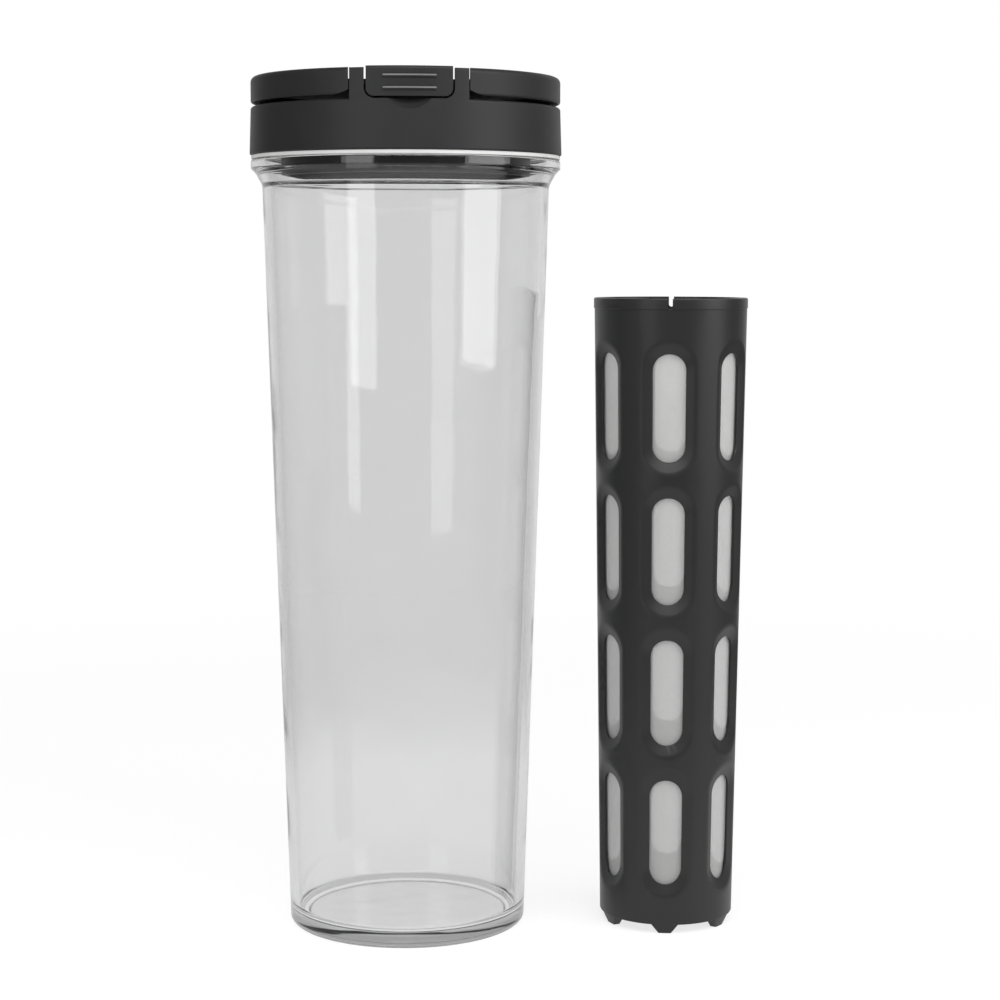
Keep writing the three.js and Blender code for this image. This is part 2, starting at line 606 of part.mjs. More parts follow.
// Basket wall: bays with recessed windows, closed by the rim above and by the inner lip below
function basketWall() {
  const rimBottom = FILTER_HEIGHT - RIM_HEIGHT;
  const windowsTop = FILTER_HEIGHT - WINDOW_TOP_BAND;
  const lands = (FILTER_ROWS - 1) * WINDOW_LAND;
  const windowHeight = (windowsTop - WINDOW_BOTTOM_BAND - lands) / FILTER_ROWS;
  const halfWidth = WINDOW_WIDTH / 2;
  const halfHeight = windowHeight / 2;
  const straight = halfHeight - halfWidth;
  const triangles = [];
  for (let column = 0; column < FILTER_COLUMNS; column += 1) {
    const degrees = (360 * column) / FILTER_COLUMNS;
    for (let row = 0; row < FILTER_ROWS; row += 1) {
      const centreZ = windowsTop - halfHeight - row * (windowHeight + WINDOW_LAND);
      const pitch = windowHeight + WINDOW_LAND;
      const last = row === FILTER_ROWS - 1;
      const topZ = row === 0 ? rimBottom : centreZ + pitch / 2;
      const outerBottom = last ? FOOT_HEIGHT : centreZ - pitch / 2;
      const innerBottom = last ? lipTop : outerBottom;
      const [lowZ, highZ] = [centreZ - straight, centreZ + straight];
      triangles.push(...stitched([
        bayRing(degrees, outerBottom, lowZ, highZ, topZ, 0),
        windowRing(degrees, centreZ, halfWidth + RECESS_SIDE, halfHeight + RECESS_END, 0),
        windowRing(degrees, centreZ, halfWidth, halfHeight, -RECESS_DEPTH),
        windowRing(degrees, centreZ, halfWidth, halfHeight, -FILTER_WALL),
        bayRing(degrees, innerBottom, lowZ, highZ, topZ, -FILTER_WALL),
      ]));
    }
  }
  const circle = ([radius, z]) =>
    Array.from({ length: basketSegments }, (_, i) => around(radius, (360 * i) / basketSegments, z));
  const rim = [
    [basketOuter(rimBottom), rimBottom],
    [rimRadius, rimBottom + RIM_PROUD],
    [rimRadius, FILTER_HEIGHT - RIM_EDGE],
    [rimRadius - RIM_EDGE, FILTER_HEIGHT],
    [basketInner(rimBottom), FILTER_HEIGHT],
    [basketInner(rimBottom), rimBottom],
  ];
  const lip = [
    [basketInner(lipTop), lipTop],
    [BASKET_LIP_RADIUS, lipTop],
    [BASKET_LIP_RADIUS, FOOT_HEIGHT],
    [FILTER_BASE_RADIUS, FOOT_HEIGHT],
  ];
  triangles.push(...stitched(rim.map(circle)), ...stitched(lip.map(circle)));
  return closed(new THREE.BufferGeometry().setFromPoints(triangles));
}

// Moulded basket: the wall, six feet below it and a notch at the front and back of the rim
function filterCage() {
  let solid = toSolid(basketWall());
  const footInner = FILTER_BASE_RADIUS - FOOT_DRAW_IN - FOOT_THICKNESS;
  const footTop = FOOT_HEIGHT + BASKET_LIP_HEIGHT / 2;
  const footRing = toSolid(revolved([
    [footInner, 0],
    [footInner + FOOT_THICKNESS, 0],
    [FILTER_BASE_RADIUS - SEAT, FOOT_HEIGHT],
    [FILTER_BASE_RADIUS - SEAT, footTop],
    [footInner, footTop],
  ], basketSegments));
  const foot = new THREE.Shape();
  foot.moveTo(-FOOT_BOTTOM_WIDTH / 2, 0);
  foot.lineTo(FOOT_BOTTOM_WIDTH / 2, 0);
  foot.lineTo(FOOT_TOP_WIDTH / 2, FOOT_HEIGHT);
  foot.lineTo(FOOT_TOP_WIDTH / 2, footTop);
  foot.lineTo(-FOOT_TOP_WIDTH / 2, footTop);
  foot.lineTo(-FOOT_TOP_WIDTH / 2, FOOT_HEIGHT);
  foot.closePath();
  for (let column = 0; column < FILTER_COLUMNS; column += 1) {
    const wedge = slab(foot, -2 * FILTER_BASE_RADIUS, 0);
    wedge.rotateZ((2 * Math.PI * column) / FILTER_COLUMNS);
    solid = solid.add(footRing.intersect(toSolid(wedge)));
  }
  const notch = new THREE.Shape();
  const notchHalf = NOTCH_WIDTH / 2;
  const notchRoundZ = FILTER_HEIGHT - NOTCH_DEPTH + notchHalf;
  notch.moveTo(notchHalf, FILTER_HEIGHT + OVERCUT);
  notch.lineTo(-notchHalf, FILTER_HEIGHT + OVERCUT);
  notch.absarc(0, notchRoundZ, notchHalf, Math.PI, 2 * Math.PI);
  notch.closePath();
  return toGeometry(solid.subtract(toSolid(slab(notch, -2 * rimRadius, 2 * rimRadius))));
}

// Fine mesh sleeve behind the windows
function filterMesh() {
  const top = FILTER_HEIGHT - MESH_TOP_DROP;
  const outer = (z) => basketInner(z) - MESH_CLEARANCE;
  return revolved([
    [outer(meshBottom) - MESH_THICKNESS, meshBottom],
    [outer(meshBottom), meshBottom],
    [outer(top), top],
    [outer(top) - MESH_THICKNESS, top],
  ], basketSegments);
}

// Mesh disc on the basket's inner lip
function filterFloor() {
  const bottom = lipTop + SEAT;
  const radius = basketInner(bottom) - SEAT;
  const top = bottom + MESH_FLOOR_THICKNESS;
  return revolved([[0, bottom], [radius, bottom], [radius, top], [0, top]], basketSegments);
}

// Finishes
const clearPlastic = { color: 0xe4e6e8, roughness: 0.05, metalness: 0, transparent: true, opacity: 0.35 };
const greyPlastic = { color: 0x3c3c3d, roughness: 0.55, metalness: 0 };
const silicone = { color: 0xdedcd8, roughness: 0.6, metalness: 0 };
const steel = { color: 0xb4b6b9, roughness: 0.3, metalness: 1 };
const paleMesh = { color: 0xc4c4c4, roughness: 0.8, metalness: 0 };

function piece(name, geometry, finish) {
  geometry.computeVertexNormals();
  const mesh = new THREE.Mesh(geometry, new THREE.MeshStandardMaterial(finish));
  mesh.name = name;
  return mesh;
}

const jarGroup = new THREE.Group();
jarGroup.position.set(jarX, 0, 0);
jarGroup.add(
  piece('jar', jar(), clearPlastic),
  piece('lid_collar', lidCollar(), greyPlastic),
  piece('lid_deck', lidDeck(), greyPlastic),
  piece('lid_gasket', lidGasket(), silicone),
  piece('hinge_pin', hingePin(), steel),
  piece('flip_cap', flipCap(), greyPlastic),
  piece('cap_stopper', capStopper(), silicone),
  piece('latch', latch(), greyPlastic),
  piece('latch_pin', latchPin(), steel),
);

const filterGroup = new THREE.Group();
filterGroup.position.set(filterX, -FILTER_FORWARD, 0);
filterGroup.rotation.z = THREE.MathUtils.degToRad(FILTER_TURN_DEGREES);
filterGroup.add(
  piece('filter_cage', filterCage(), greyPlastic),
  piece('filter_mesh', filterMesh(), paleMesh),
  piece('filter_floor', filterFloor(), paleMesh),
);

const pitcher = new THREE.Group();
pitcher.add(jarGroup, filterGroup);

export default pitcher;
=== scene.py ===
import math

import bmesh
import bpy
from mathutils import Matrix, Vector


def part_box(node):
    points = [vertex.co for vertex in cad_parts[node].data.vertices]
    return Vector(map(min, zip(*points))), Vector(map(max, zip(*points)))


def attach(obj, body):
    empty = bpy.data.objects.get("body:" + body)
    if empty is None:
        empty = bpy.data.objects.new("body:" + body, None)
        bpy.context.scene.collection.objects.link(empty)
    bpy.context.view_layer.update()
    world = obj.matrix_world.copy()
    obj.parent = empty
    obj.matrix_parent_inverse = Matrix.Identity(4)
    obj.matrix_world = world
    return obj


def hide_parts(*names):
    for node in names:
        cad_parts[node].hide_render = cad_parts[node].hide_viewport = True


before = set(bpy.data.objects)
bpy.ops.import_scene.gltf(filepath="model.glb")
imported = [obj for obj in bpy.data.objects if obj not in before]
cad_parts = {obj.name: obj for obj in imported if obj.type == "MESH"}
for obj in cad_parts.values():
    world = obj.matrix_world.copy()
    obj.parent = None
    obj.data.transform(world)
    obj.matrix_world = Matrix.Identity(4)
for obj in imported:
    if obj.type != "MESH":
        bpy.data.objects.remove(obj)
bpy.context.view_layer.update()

# Camera
# A portrait lens sees the pitcher from the front, from about the height of the jar's shoulder,
# turned a little to the right and down so that the basket shares the picture.
MM = 0.001
camera_place = Vector((-50.16, -801.58, 227.0)) * MM
camera_right, camera_down, camera_roll = 3.6, 5.814, 0.106
bpy.ops.object.select_all(action="DESELECT")
bpy.ops.object.camera_add()
camera = bpy.context.object
camera.data.lens = 85
camera.data.sensor_width = 36
camera_turn = Matrix.Rotation(math.radians(-camera_right), 4, "Z")
camera_turn @= Matrix.Rotation(math.radians(90 - camera_down), 4, "X")
camera_turn @= Matrix.Rotation(math.radians(camera_roll), 4, "Z")
camera.matrix_world = Matrix.Translation(camera_place) @ camera_turn
bpy.context.scene.camera = camera
bpy.context.scene.view_settings.view_transform = "Standard"


# Jar
# One blown moulding of clear copolyester: a tapered wall on a thick floor, a fill ring inside, a flare
# and a hollow flange below a threaded neck. It stands on its foot ring, and the collar turns on the neck.
jar_low, jar_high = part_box("jar")
jar_axis = (jar_low + jar_high) / 2
neck_top = jar_high.z
flange_radius = (jar_high.x - jar_low.x) / 2
jar_base_radius = 40.2 * MM
jar_shoulder_radius = 48.1 * MM
jar_shoulder_height = 250 * MM
jar_wall = 3.1 * MM
jar_floor = 5 * MM
jar_floor_fillet = 3.2 * MM
foot_round = 2.6 * MM
foot_recess_round, foot_ring_round = 0.6 * MM, 0.4 * MM
foot_ring_inner = 34.3 * MM
foot_recess = 0.8 * MM
# Painted shade: beyond a radius of about 37 mm and below the floor's top, the foot is tinted dark grey. This
# stands in for the darker surroundings that the thick floor mirrors.
foot_shade_inner, foot_shade_outer = 36.5 * MM, 38.5 * MM
foot_shade_low, foot_shade_high = 4.2 * MM, 5.4 * MM
foot_painted_shade = (0.42, 0.42, 0.425)
flare_start, flare_start_round = 251.6 * MM, 4 * MM
flare_middle, flare_reach, flare_round = 255.4 * MM, 2.1 * MM, 5 * MM
hollow_radius, hollow_round = 47.2 * MM, 2.5 * MM
hollow_start_round, hollow_top_round, hollow_end_round = 0.6 * MM, 0.8 * MM, 0.4 * MM
hollow_start, hollow_bottom, hollow_top, hollow_end = 252.9 * MM, 257 * MM, 260.6 * MM, 261.8 * MM
fill_ring_radius, fill_ring_round = 43.9 * MM, 0.25 * MM
fill_ring_low, fill_ring_high = 251.9 * MM, 252.5 * MM
fill_ring_foot, fill_ring_foot_round = 251.6 * MM, 0.3 * MM
flange_bottom = 257.1 * MM
flange_top = 261.2 * MM
flange_round, flange_top_round = 0.7 * MM, 0.8 * MM
gasket_low, gasket_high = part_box("lid_gasket")
gasket_width = 2.2 * MM
gasket_outer = (gasket_high.x - gasket_low.x) / 2
gasket_inner = gasket_outer - gasket_width
gasket_play = 0.1 * MM
seat_top = gasket_low.z - gasket_play
seat_wall = gasket_inner - gasket_play
seat_root, seat_edge = 0.1 * MM, 0.2 * MM
neck_wall = 2 * MM
lip_round = 0.6 * MM
jar_thread_start = 2.4 * MM
jar_thread_turns = 1.5
thread_pitch = 4 * MM
thread_depth = 1.2 * MM
thread_root, thread_crest = 1.9 * MM, 0.9 * MM
thread_bury = 0.3 * MM
thread_run_out = 7 * MM
jar_steps = 160
wave_size, wave_depth, polish_size = 18 * MM, 2 * MM, 2.5 * MM
wall_dark, wall_light = (0.842, 0.842, 0.843), (0.868, 0.868, 0.869)
lamp_tint = (0.85, 0.85, 0.85, 1)


def jar_outer(height):
    """Radius of the tapered wall's outer surface at a height."""
    return jar_base_radius + (jar_shoulder_radius - jar_base_radius) * height / jar_shoulder_height


def jar_inner(height):
    """Radius of the wall's inner surface at a height."""
    return jar_outer(height) - jar_wall


def rounded(corners, steps=6):
    """Points of an outline from corners (radius, height, fillet), where a fillet of 0 stays sharp."""
    points = []
    for i, (radius, height, fillet) in enumerate(corners):
        here = Vector((radius, height))
        if not fillet:
            points.append(here)
            continue
        before = (Vector(corners[i - 1][:2]) - here).normalized()
        after = (Vector(corners[(i + 1) % len(corners)][:2]) - here).normalized()
        half = before.angle(after) / 2
        centre = here + (before + after).normalized() * fillet / math.sin(half)
        start = (here + before * fillet / math.tan(half) - centre).normalized()
        end = (here + after * fillet / math.tan(half) - centre).normalized()
        points += [centre + fillet * start.slerp(end, k / steps) for k in range(steps + 1)]
    return points


def added(name, primitive, **settings):
    """A new body from one of Blender's primitives, with its place and turn kept in its mesh."""
    bpy.ops.object.select_all(action="DESELECT")
    primitive(**settings)
    body = bpy.context.object
    body.name = name
    bpy.ops.object.transform_apply()
    return body


def drawn(name, places):
    """A line of edges, left in edit mode: a plane is merged to one vertex and extruded along it."""
    body = added(name, bpy.ops.mesh.primitive_plane_add, size=MM)
    bpy.ops.object.mode_set(mode="EDIT")
    bpy.ops.mesh.merge(type="CENTER")
    bpy.ops.transform.translate(value=places[0])
    for here, there in zip(places, places[1:]):
        bpy.ops.mesh.extrude_vertices_move(TRANSFORM_OT_translate={"value": there - here})
    return body


def weld(threshold=0.001 * MM):
    """Leaves edit mode with doubled vertices merged and the faces turned outwards."""
    bpy.ops.mesh.select_all(action="SELECT")
    bpy.ops.mesh.remove_doubles(threshold=threshold)
    bpy.ops.mesh.normals_make_consistent(inside=False)
    bpy.ops.object.mode_set(mode="OBJECT")


def turned(name, outline, axis, steps=128):
    """A body of revolution about an upright axis; its outline ends on the axis or closes on itself."""
    places = [Vector((axis.x + radius, axis.y, height)) for radius, height in outline]
    if outline[0][0] > 0:
        places.append(places[0])
    body = drawn(name, places)
    bpy.ops.mesh.select_all(action="SELECT")
    bpy.ops.mesh.spin(steps=steps, angle=math.tau, center=(axis.x, axis.y, 0), axis=(0, 0, 1))
    weld()
    return body


def choose(body):
    """Makes a body the one selected and active object."""
    bpy.ops.object.select_all(action="DESELECT")
    bpy.context.view_layer.objects.active = body
    body.select_set(True)


def modify(body, kind, **settings):
    """Adds a modifier with these settings to a body and applies it."""
    choose(body)
    bpy.ops.object.modifier_add(type=kind)
    modifier = body.modifiers[-1]
    for name, value in settings.items():
        setattr(modifier, name, value)
    bpy.ops.object.modifier_apply(modifier=modifier.name)


def combine(body, tool, operation):
    """Joins a tool to a body, or cuts it away from it, and removes the tool."""
    modify(body, "BOOLEAN", operation=operation, solver="MANIFOLD", object=tool)
    bpy.data.objects.remove(tool)


def smooth(body, degrees=35):
    """Shades a body smooth, with edges sharper than an angle kept, and evens its normals by area."""
    choose(body)
    bpy.ops.object.shade_smooth_by_angle(angle=math.radians(degrees))
    modify(body, "WEIGHTED_NORMAL", keep_sharp=True)


def select_where(body, test):
    """In edit mode, selects the vertices whose place passes a test, and what lies between them."""
    mesh = bmesh.from_edit_mesh(body.data)
    bpy.ops.mesh.select_all(action="DESELECT")
    for vertex in mesh.verts:
        vertex.select = test(vertex.co)
    mesh.select_flush(True)
    bmesh.update_edit_mesh(body.data)


def screw_thread(name, axis, wall_radius, side, start_height, start_degrees, turns):
    """A helical ridge on a wall, facing outwards (side 1) or inwards (side -1), sunk at both ends."""
    start_turn = Matrix.Rotation(math.radians(start_degrees), 3, "Z")
    root = wall_radius - side * thread_bury
    crest = wall_radius + side * thread_depth
    section = [
        (root, -thread_root / 2),
        (crest, -thread_crest / 2),
        (crest, thread_crest / 2),
        (root, thread_root / 2),
        (root, -thread_root / 2),
    ]
    body = drawn(name, [start_turn @ Vector((radius, 0, start_height + z)) for radius, z in section])
    weld()
    sweep = turns * math.tau
    steps = round(96 * turns)
    modify(
        body, "SCREW", axis="Z", angle=sweep, screw_offset=thread_pitch * turns,
        steps=steps, render_steps=steps, use_normal_calculate=True,
    )
    bpy.ops.object.mode_set(mode="EDIT")
    bpy.ops.mesh.select_all(action="SELECT")
    bpy.ops.mesh.fill_holes(sides=len(section))
    on_end = lambda place: abs(place.y) < MM / 100
    run_out = thread_run_out / wall_radius
    rise = thread_pitch * run_out / math.tau
    for end, direction in ((0, -1), (sweep, 1)):
        face_turn = start_turn @ Matrix.Rotation(end, 3, "Z")
        inward = face_turn.inverted()
        height = start_height + thread_pitch * end / math.tau
        near = face_turn @ Vector((wall_radius, 0, height))
        select_where(body, lambda place: (place - near).length < thread_pitch / 2 and on_end(inward @ place))
        sunk = Vector((-side * (thread_depth + thread_bury), direction * thread_run_out, direction * rise))
        bpy.ops.mesh.extrude_region_move(TRANSFORM_OT_translate={"value": face_turn @ sunk})
    bpy.ops.mesh.select_all(action="SELECT")
    bpy.ops.transform.translate(value=(axis.x, axis.y, 0))
    weld()
    return body


neck_radius = jar_inner(neck_top) + neck_wall
jar = turned(
    "clear_jar",
    rounded([
        (0, foot_recess, 0),
        (foot_ring_inner - foot_recess, foot_recess, foot_recess_round),
        (foot_ring_inner, 0, foot_ring_round),
        (jar_outer(0), 0, foot_round),
        (jar_outer(flare_start), flare_start, flare_start_round),
        (jar_outer(flare_start) + flare_reach, flare_middle, flare_round),
        (flange_radius, flange_bottom, flange_round),
        (flange_radius, seat_top, flange_top_round),
        (seat_wall, seat_top, seat_root),
        (seat_wall, flange_top, seat_edge),
        (neck_radius, flange_top, lip_round),
        (neck_radius, neck_top, lip_round),
        (jar_inner(neck_top), neck_top, lip_round),
        (jar_inner(neck_top), hollow_end, hollow_end_round),
        (hollow_radius, hollow_top, hollow_top_round),
        (hollow_radius, hollow_bottom, hollow_round),
        (jar_inner(hollow_start), hollow_start, hollow_start_round),
        (fill_ring_radius, fill_ring_high, fill_ring_round),
        (fill_ring_radius, fill_ring_low, fill_ring_round),
        (jar_inner(fill_ring_foot), fill_ring_foot, fill_ring_foot_round),
        (jar_inner(jar_floor), jar_floor, jar_floor_fillet),
        (0, jar_floor, 0),
    ], steps=8),
    jar_axis, steps=jar_steps,
)
jar_thread = screw_thread(
    "jar_thread", jar_axis, neck_radius, 1, flange_top + jar_thread_start, -90, jar_thread_turns,
)
combine(jar, jar_thread, "UNION")
smooth(jar, 40)


class Value:
    """An output of a finish's nodes; sums and products written with it add Math nodes."""

    def __init__(self, finish, socket):
        self.finish = finish
        self.socket = socket

    def other(self, name):
        """Another output of the same node."""
        return Value(self.finish, self.socket.node.outputs[name])

    def maths(self, operation, first, second):
        return self.finish.node("Math", {"operation": operation}, {0: first, 1: second})

    def __add__(self, other):
        return self.maths("ADD", self, other)

    def __sub__(self, other):
        return self.maths("SUBTRACT", self, other)

    def __rsub__(self, other):
        return self.maths("SUBTRACT", other, self)

    def __mul__(self, other):
        return self.maths("MULTIPLY", self, other)

    def __truediv__(self, other):
        return self.maths("DIVIDE", self, other)

    __radd__ = __add__
    __rmul__ = __mul__


class Finish:
    """The nodes of one material, or of the world."""

    def __init__(self, owner):
        owner.use_nodes = True
        self.owner = owner
        self.nodes = owner.node_tree.nodes
        self.links = owner.node_tree.links
        self.nodes.clear()

    def node(self, kind, settings=None, sockets=None, output=0):
        """Adds a node: its settings first, then the values or links of its sockets."""
        made = self.nodes.new("ShaderNode" + kind)
        for name, value in (settings or {}).items():
            setattr(made, name, value)
        for name, value in (sockets or {}).items():
            if isinstance(value, Value):
                self.links.new(value.socket, made.inputs[name])
            else:
                made.inputs[name].default_value = value
        return Value(self, made.outputs[output] if made.outputs else None)

    def noise(self, place, size, detail=2.0):
        """Noise from 0 to 1 with features of a size in metres."""
        return self.node("TexNoise", None, {"Vector": place, "Scale": 1 / size, "Detail": detail})

    def tint(self, share, first, second):
        """A colour between two, by a share."""
        if not isinstance(first, Value):
            first = (*first, 1)
        sockets = {0: share, 6: first, 7: (*second, 1)}
        return self.node("Mix", {"data_type": "RGBA"}, sockets, output=2)

    def ramp(self, value, low, high, first=0.0, last=1.0, shape="LINEAR"):
        """A result that goes from first to last while a value goes from low to high."""
        return self.node("MapRange", {"interpolation_type": shape}, {
            "Value": value, "From Min": low, "From Max": high, "To Min": first, "To Max": last,
        })

    def bump(self, height, strength, depth):
        """A normal that is tilted by the slope of a height."""
        return self.node("Bump", None, {"Height": height, "Strength": strength, "Distance": depth})

    def along(self, place, axis):
        """One coordinate of a place."""
        return self.node("SeparateXYZ", None, {"Vector": place}, output=axis)

    def reach(self, place):
        """The distance of a place from the jar's axis."""
        centred = self.node("Mapping", None, {
            "Vector": place, "Location": (-jar_axis.x, -jar_axis.y, 0), "Scale": (1, 1, 0),
        })
        return self.node("VectorMath", {"operation": "LENGTH"}, {0: centred}, output="Value")

    def surface(self, shader, kind="OutputMaterial"):
        """Ends the nodes in their output."""
        self.node(kind, None, {"Surface": shader})
        return self.owner


def clear_plastic(name):
    """Clear, faintly smoked plastic, wavy as a deep moulding is and finely polished, with painted shade on
    the outer foot; lamps shine through.
    """
    finish = Finish(bpy.data.materials.new(name))
    place = finish.node("TexCoord", output="Object")
    waves = finish.noise(place, wave_size, 1.0)
    polish = finish.noise(place, polish_size, 4.0)
    # Painted shade: a mask of the foot's outer edge, which tints the clear wall grey there.
    outer = finish.ramp(finish.reach(place), foot_shade_inner, foot_shade_outer)
    low = finish.ramp(finish.along(place, "Z"), foot_shade_low, foot_shade_high, 1.0, 0.0)
    wall = finish.tint(waves, wall_dark, wall_light)
    shader = finish.node("BsdfPrincipled", None, {
        "Base Color": finish.tint(outer * low, wall, foot_painted_shade),
        "Roughness": 0.015 + 0.02 * polish,
        "IOR": 1.54,
        "Transmission Weight": 1.0,
        "Normal": finish.bump(waves, 0.06, wave_depth),
    })
    lamp_ray = finish.node("LightPath", output="Is Shadow Ray")
    lit = finish.node("BsdfTransparent", None, {"Color": lamp_tint})
    return finish.surface(finish.node("MixShader", None, {0: lamp_ray, 1: shader, 2: lit}))


def paint(body, material):
    """Gives a whole body one material."""
    body.data.materials.clear()
    body.data.materials.append(material)
    body.data.polygons.foreach_set("material_index", [0] * len(body.data.polygons))


paint(jar, clear_plastic("clear_copolyester"))
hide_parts("jar")
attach(jar, "jar")


# Lid deck
# The lid's inner moulding of dark grey polypropylene: a plate over the jar's mouth with a plug that
# fills the mouth, a socket for the basket's rim and a walled slot for pouring.
deck_low, deck_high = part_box("lid_deck")
deck_radius = (deck_high.x - deck_low.x) / 2
deck_thickness = 2.5 * MM
deck_gap = 0.4 * MM
deck_bottom = neck_top + deck_gap
deck_top = deck_bottom + deck_thickness
deck_fine, deck_edge, deck_root = 0.3 * MM, 0.4 * MM, 0.5 * MM
plug_radius, plug_wall, plug_root = 41.97 * MM, 2 * MM, 0.6 * MM
plug_bore = plug_radius - plug_wall
socket_bore = 26.5 * MM
socket_radius = 28.5 * MM
socket_depth = 9 * MM
pour_length, pour_margin = 20 * MM, 1 * MM
pour_width = plug_bore - socket_radius - 2 * pour_margin
pour_place = Vector((jar_axis.x, jar_axis.y - (plug_bore + socket_radius) / 2, 0))
pour_wall = 1.5 * MM
pour_round = 0.6 * MM
key_width, key_height = 1.1 * MM, 2.8 * MM
key_tip = 24.95 * MM
lid_dark, lid_light = (0.014, 0.014, 0.0145), (0.02, 0.02, 0.0205)
lid_skin = {"roughness": 0.5, "grain": 0.35 * MM, "grain_depth": 0.03 * MM, "flow": 1.0}
cloud_size = 9 * MM
# Painted highlight: a light line along the upper part of each latch grip ridge, where light from above would
# catch it.
highlight_core, highlight_edge, highlight_fade = 0.05 * MM, 0.32 * MM, 0.2 * MM
highlight_tint = (0.26, 0.26, 0.264)
overcut = 1 * MM


def block(name, low, high):
    """A box between two corners, as a start for lugs and cuts."""
    low, high = Vector(low), Vector(high)
    bpy.ops.object.select_all(action="DESELECT")
    bpy.ops.mesh.primitive_cube_add(size=1, location=(low + high) / 2)
    body = bpy.context.object
    body.name = name
    body.scale = high - low
    bpy.ops.object.transform_apply()
    return body


def soften(body, width, segments=3, degrees=40):
    """Rounds the edges of a body that are sharper than an angle."""
    modify(
        body, "BEVEL", width=width, segments=segments, limit_method="ANGLE",
        angle_limit=math.radians(degrees), miter_outer="MITER_ARC", use_clamp_overlap=True,
    )


def obround(name, length, width, place, bottom, top, vertices=64):
    """A round-ended bar along X: a disc whose halves are drawn apart, extruded upwards."""
    body = added(
        name, bpy.ops.mesh.primitive_circle_add,
        vertices=vertices, radius=width / 2, fill_type="NGON", rotation=(0, 0, math.pi / vertices),
    )
    bpy.ops.object.mode_set(mode="EDIT")
    reach = (length - width) / 2
    for side in (-1, 1):
        select_where(body, lambda point: point.x * side > 0)
        bpy.ops.transform.translate(value=(side * reach, 0, 0))
    bpy.ops.mesh.select_all(action="SELECT")
    bpy.ops.transform.translate(value=(place.x, place.y, bottom))
    bpy.ops.mesh.extrude_region_move(TRANSFORM_OT_translate={"value": (0, 0, top - bottom)})
    weld()
    return body


plug_bottom = deck_low.z
deck = turned(
    "deck_insert",
    rounded([
        (0, deck_bottom, 0),
        (socket_bore, deck_bottom, deck_fine),
        (socket_bore, deck_bottom - socket_depth, deck_edge),
        (socket_radius, deck_bottom - socket_depth, deck_edge),
        (socket_radius, deck_bottom, deck_root),
        (plug_bore, deck_bottom, plug_root),
        (plug_bore, plug_bottom, deck_fine),
        (plug_radius, plug_bottom, deck_root),
        (plug_radius, deck_bottom, deck_root),
        (deck_radius, deck_bottom, deck_fine),
        (deck_radius, deck_top, deck_edge),
        (0, deck_top, 0),
    ], steps=4),
    jar_axis,
)
spout = obround(
    "spout", pour_length + 2 * pour_wall, pour_width + 2 * pour_wall, pour_place,
    deck_top - deck_thickness / 2, deck_high.z,
)
soften(spout, pour_round)
combine(deck, spout, "UNION")
for side in (-1, 1):
    key_ends = sorted((side * key_tip, side * (socket_bore + overcut)))
    key = block(
        "key",
        (jar_axis.x - key_width / 2, jar_axis.y + key_ends[0], deck_bottom - key_height),
        (jar_axis.x + key_width / 2, jar_axis.y + key_ends[1], deck_bottom + overcut),
    )
    combine(deck, key, "UNION")
slot = obround("slot", pour_length, pour_width, pour_place, deck_bottom - overcut, deck_high.z + overcut)
combine(deck, slot, "DIFFERENCE")
smooth(deck)


def moulded_plastic(name, dark, light, roughness, grain, grain_depth, flow, highlight_heights=(), highlight_reach=0.0):
    """Opaque moulded plastic: a spark-eroded grain, faint flow clouds and, at given heights, painted
    highlight lines where the surface stands proud.
    """
    finish = Finish(bpy.data.materials.new(name))
    place = finish.node("TexCoord", output="Object")
    stretched = finish.node("Mapping", None, {"Vector": place, "Scale": (1, 1, flow)})
    clouds = finish.noise(stretched, cloud_size, 5.0)
    pores = finish.noise(place, grain, 3.0)
    colour = finish.tint(0.7 * clouds + 0.3 * pores, dark, light)
    # Each given height gets a painted highlight, a light line on the part of the surface that stands proud of
    # a radius.
    for height in highlight_heights:
        level = finish.along(place, "Z")
        line = finish.ramp(level.maths("ABSOLUTE", level - height, 0), highlight_core, highlight_edge, 1.0, 0.0)
        proud = finish.ramp(finish.reach(place), highlight_reach, highlight_reach + highlight_fade)
        colour = finish.tint(line * proud * (0.5 + 0.5 * clouds), colour, highlight_tint)
    shader = finish.node("BsdfPrincipled", None, {
        "Base Color": colour,
        "Roughness": roughness + 0.12 * (clouds - 0.5) + 0.08 * (pores - 0.5),
        "IOR": 1.49,
        "Specular IOR Level": 0.42,
        "Normal": finish.bump(pores, 0.35, grain_depth),
    })
    return finish.surface(shader)


lid_plastic = moulded_plastic("lid_plastic", lid_dark, lid_light, **lid_skin)
paint(deck, lid_plastic)
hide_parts("lid_deck")
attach(deck, "lid")


# Lid gasket
# A flat ring of pale silicone on a seat around the top of the jar's flange. The collar's lower edge
# presses it down, and its outer edge shows as a white band under the collar.
gasket_round = 0.3 * MM
gasket_dark, gasket_light = (0.58, 0.577, 0.57), (0.68, 0.677, 0.67)
silicone_cloud, silicone_skin, skin_depth = 6 * MM, 0.4 * MM, 0.03 * MM
silicone_glow = (1.2 * MM, 1.1 * MM, 1.0 * MM)
gasket = turned(
    "rim_gasket",
    rounded([
        (gasket_inner, gasket_low.z, gasket_round),
        (gasket_outer, gasket_low.z, gasket_round),
        (gasket_outer, gasket_high.z, gasket_round),
        (gasket_inner, gasket_high.z, gasket_round),
    ], steps=4),
    jar_axis, steps=jar_steps,
)
smooth(gasket)


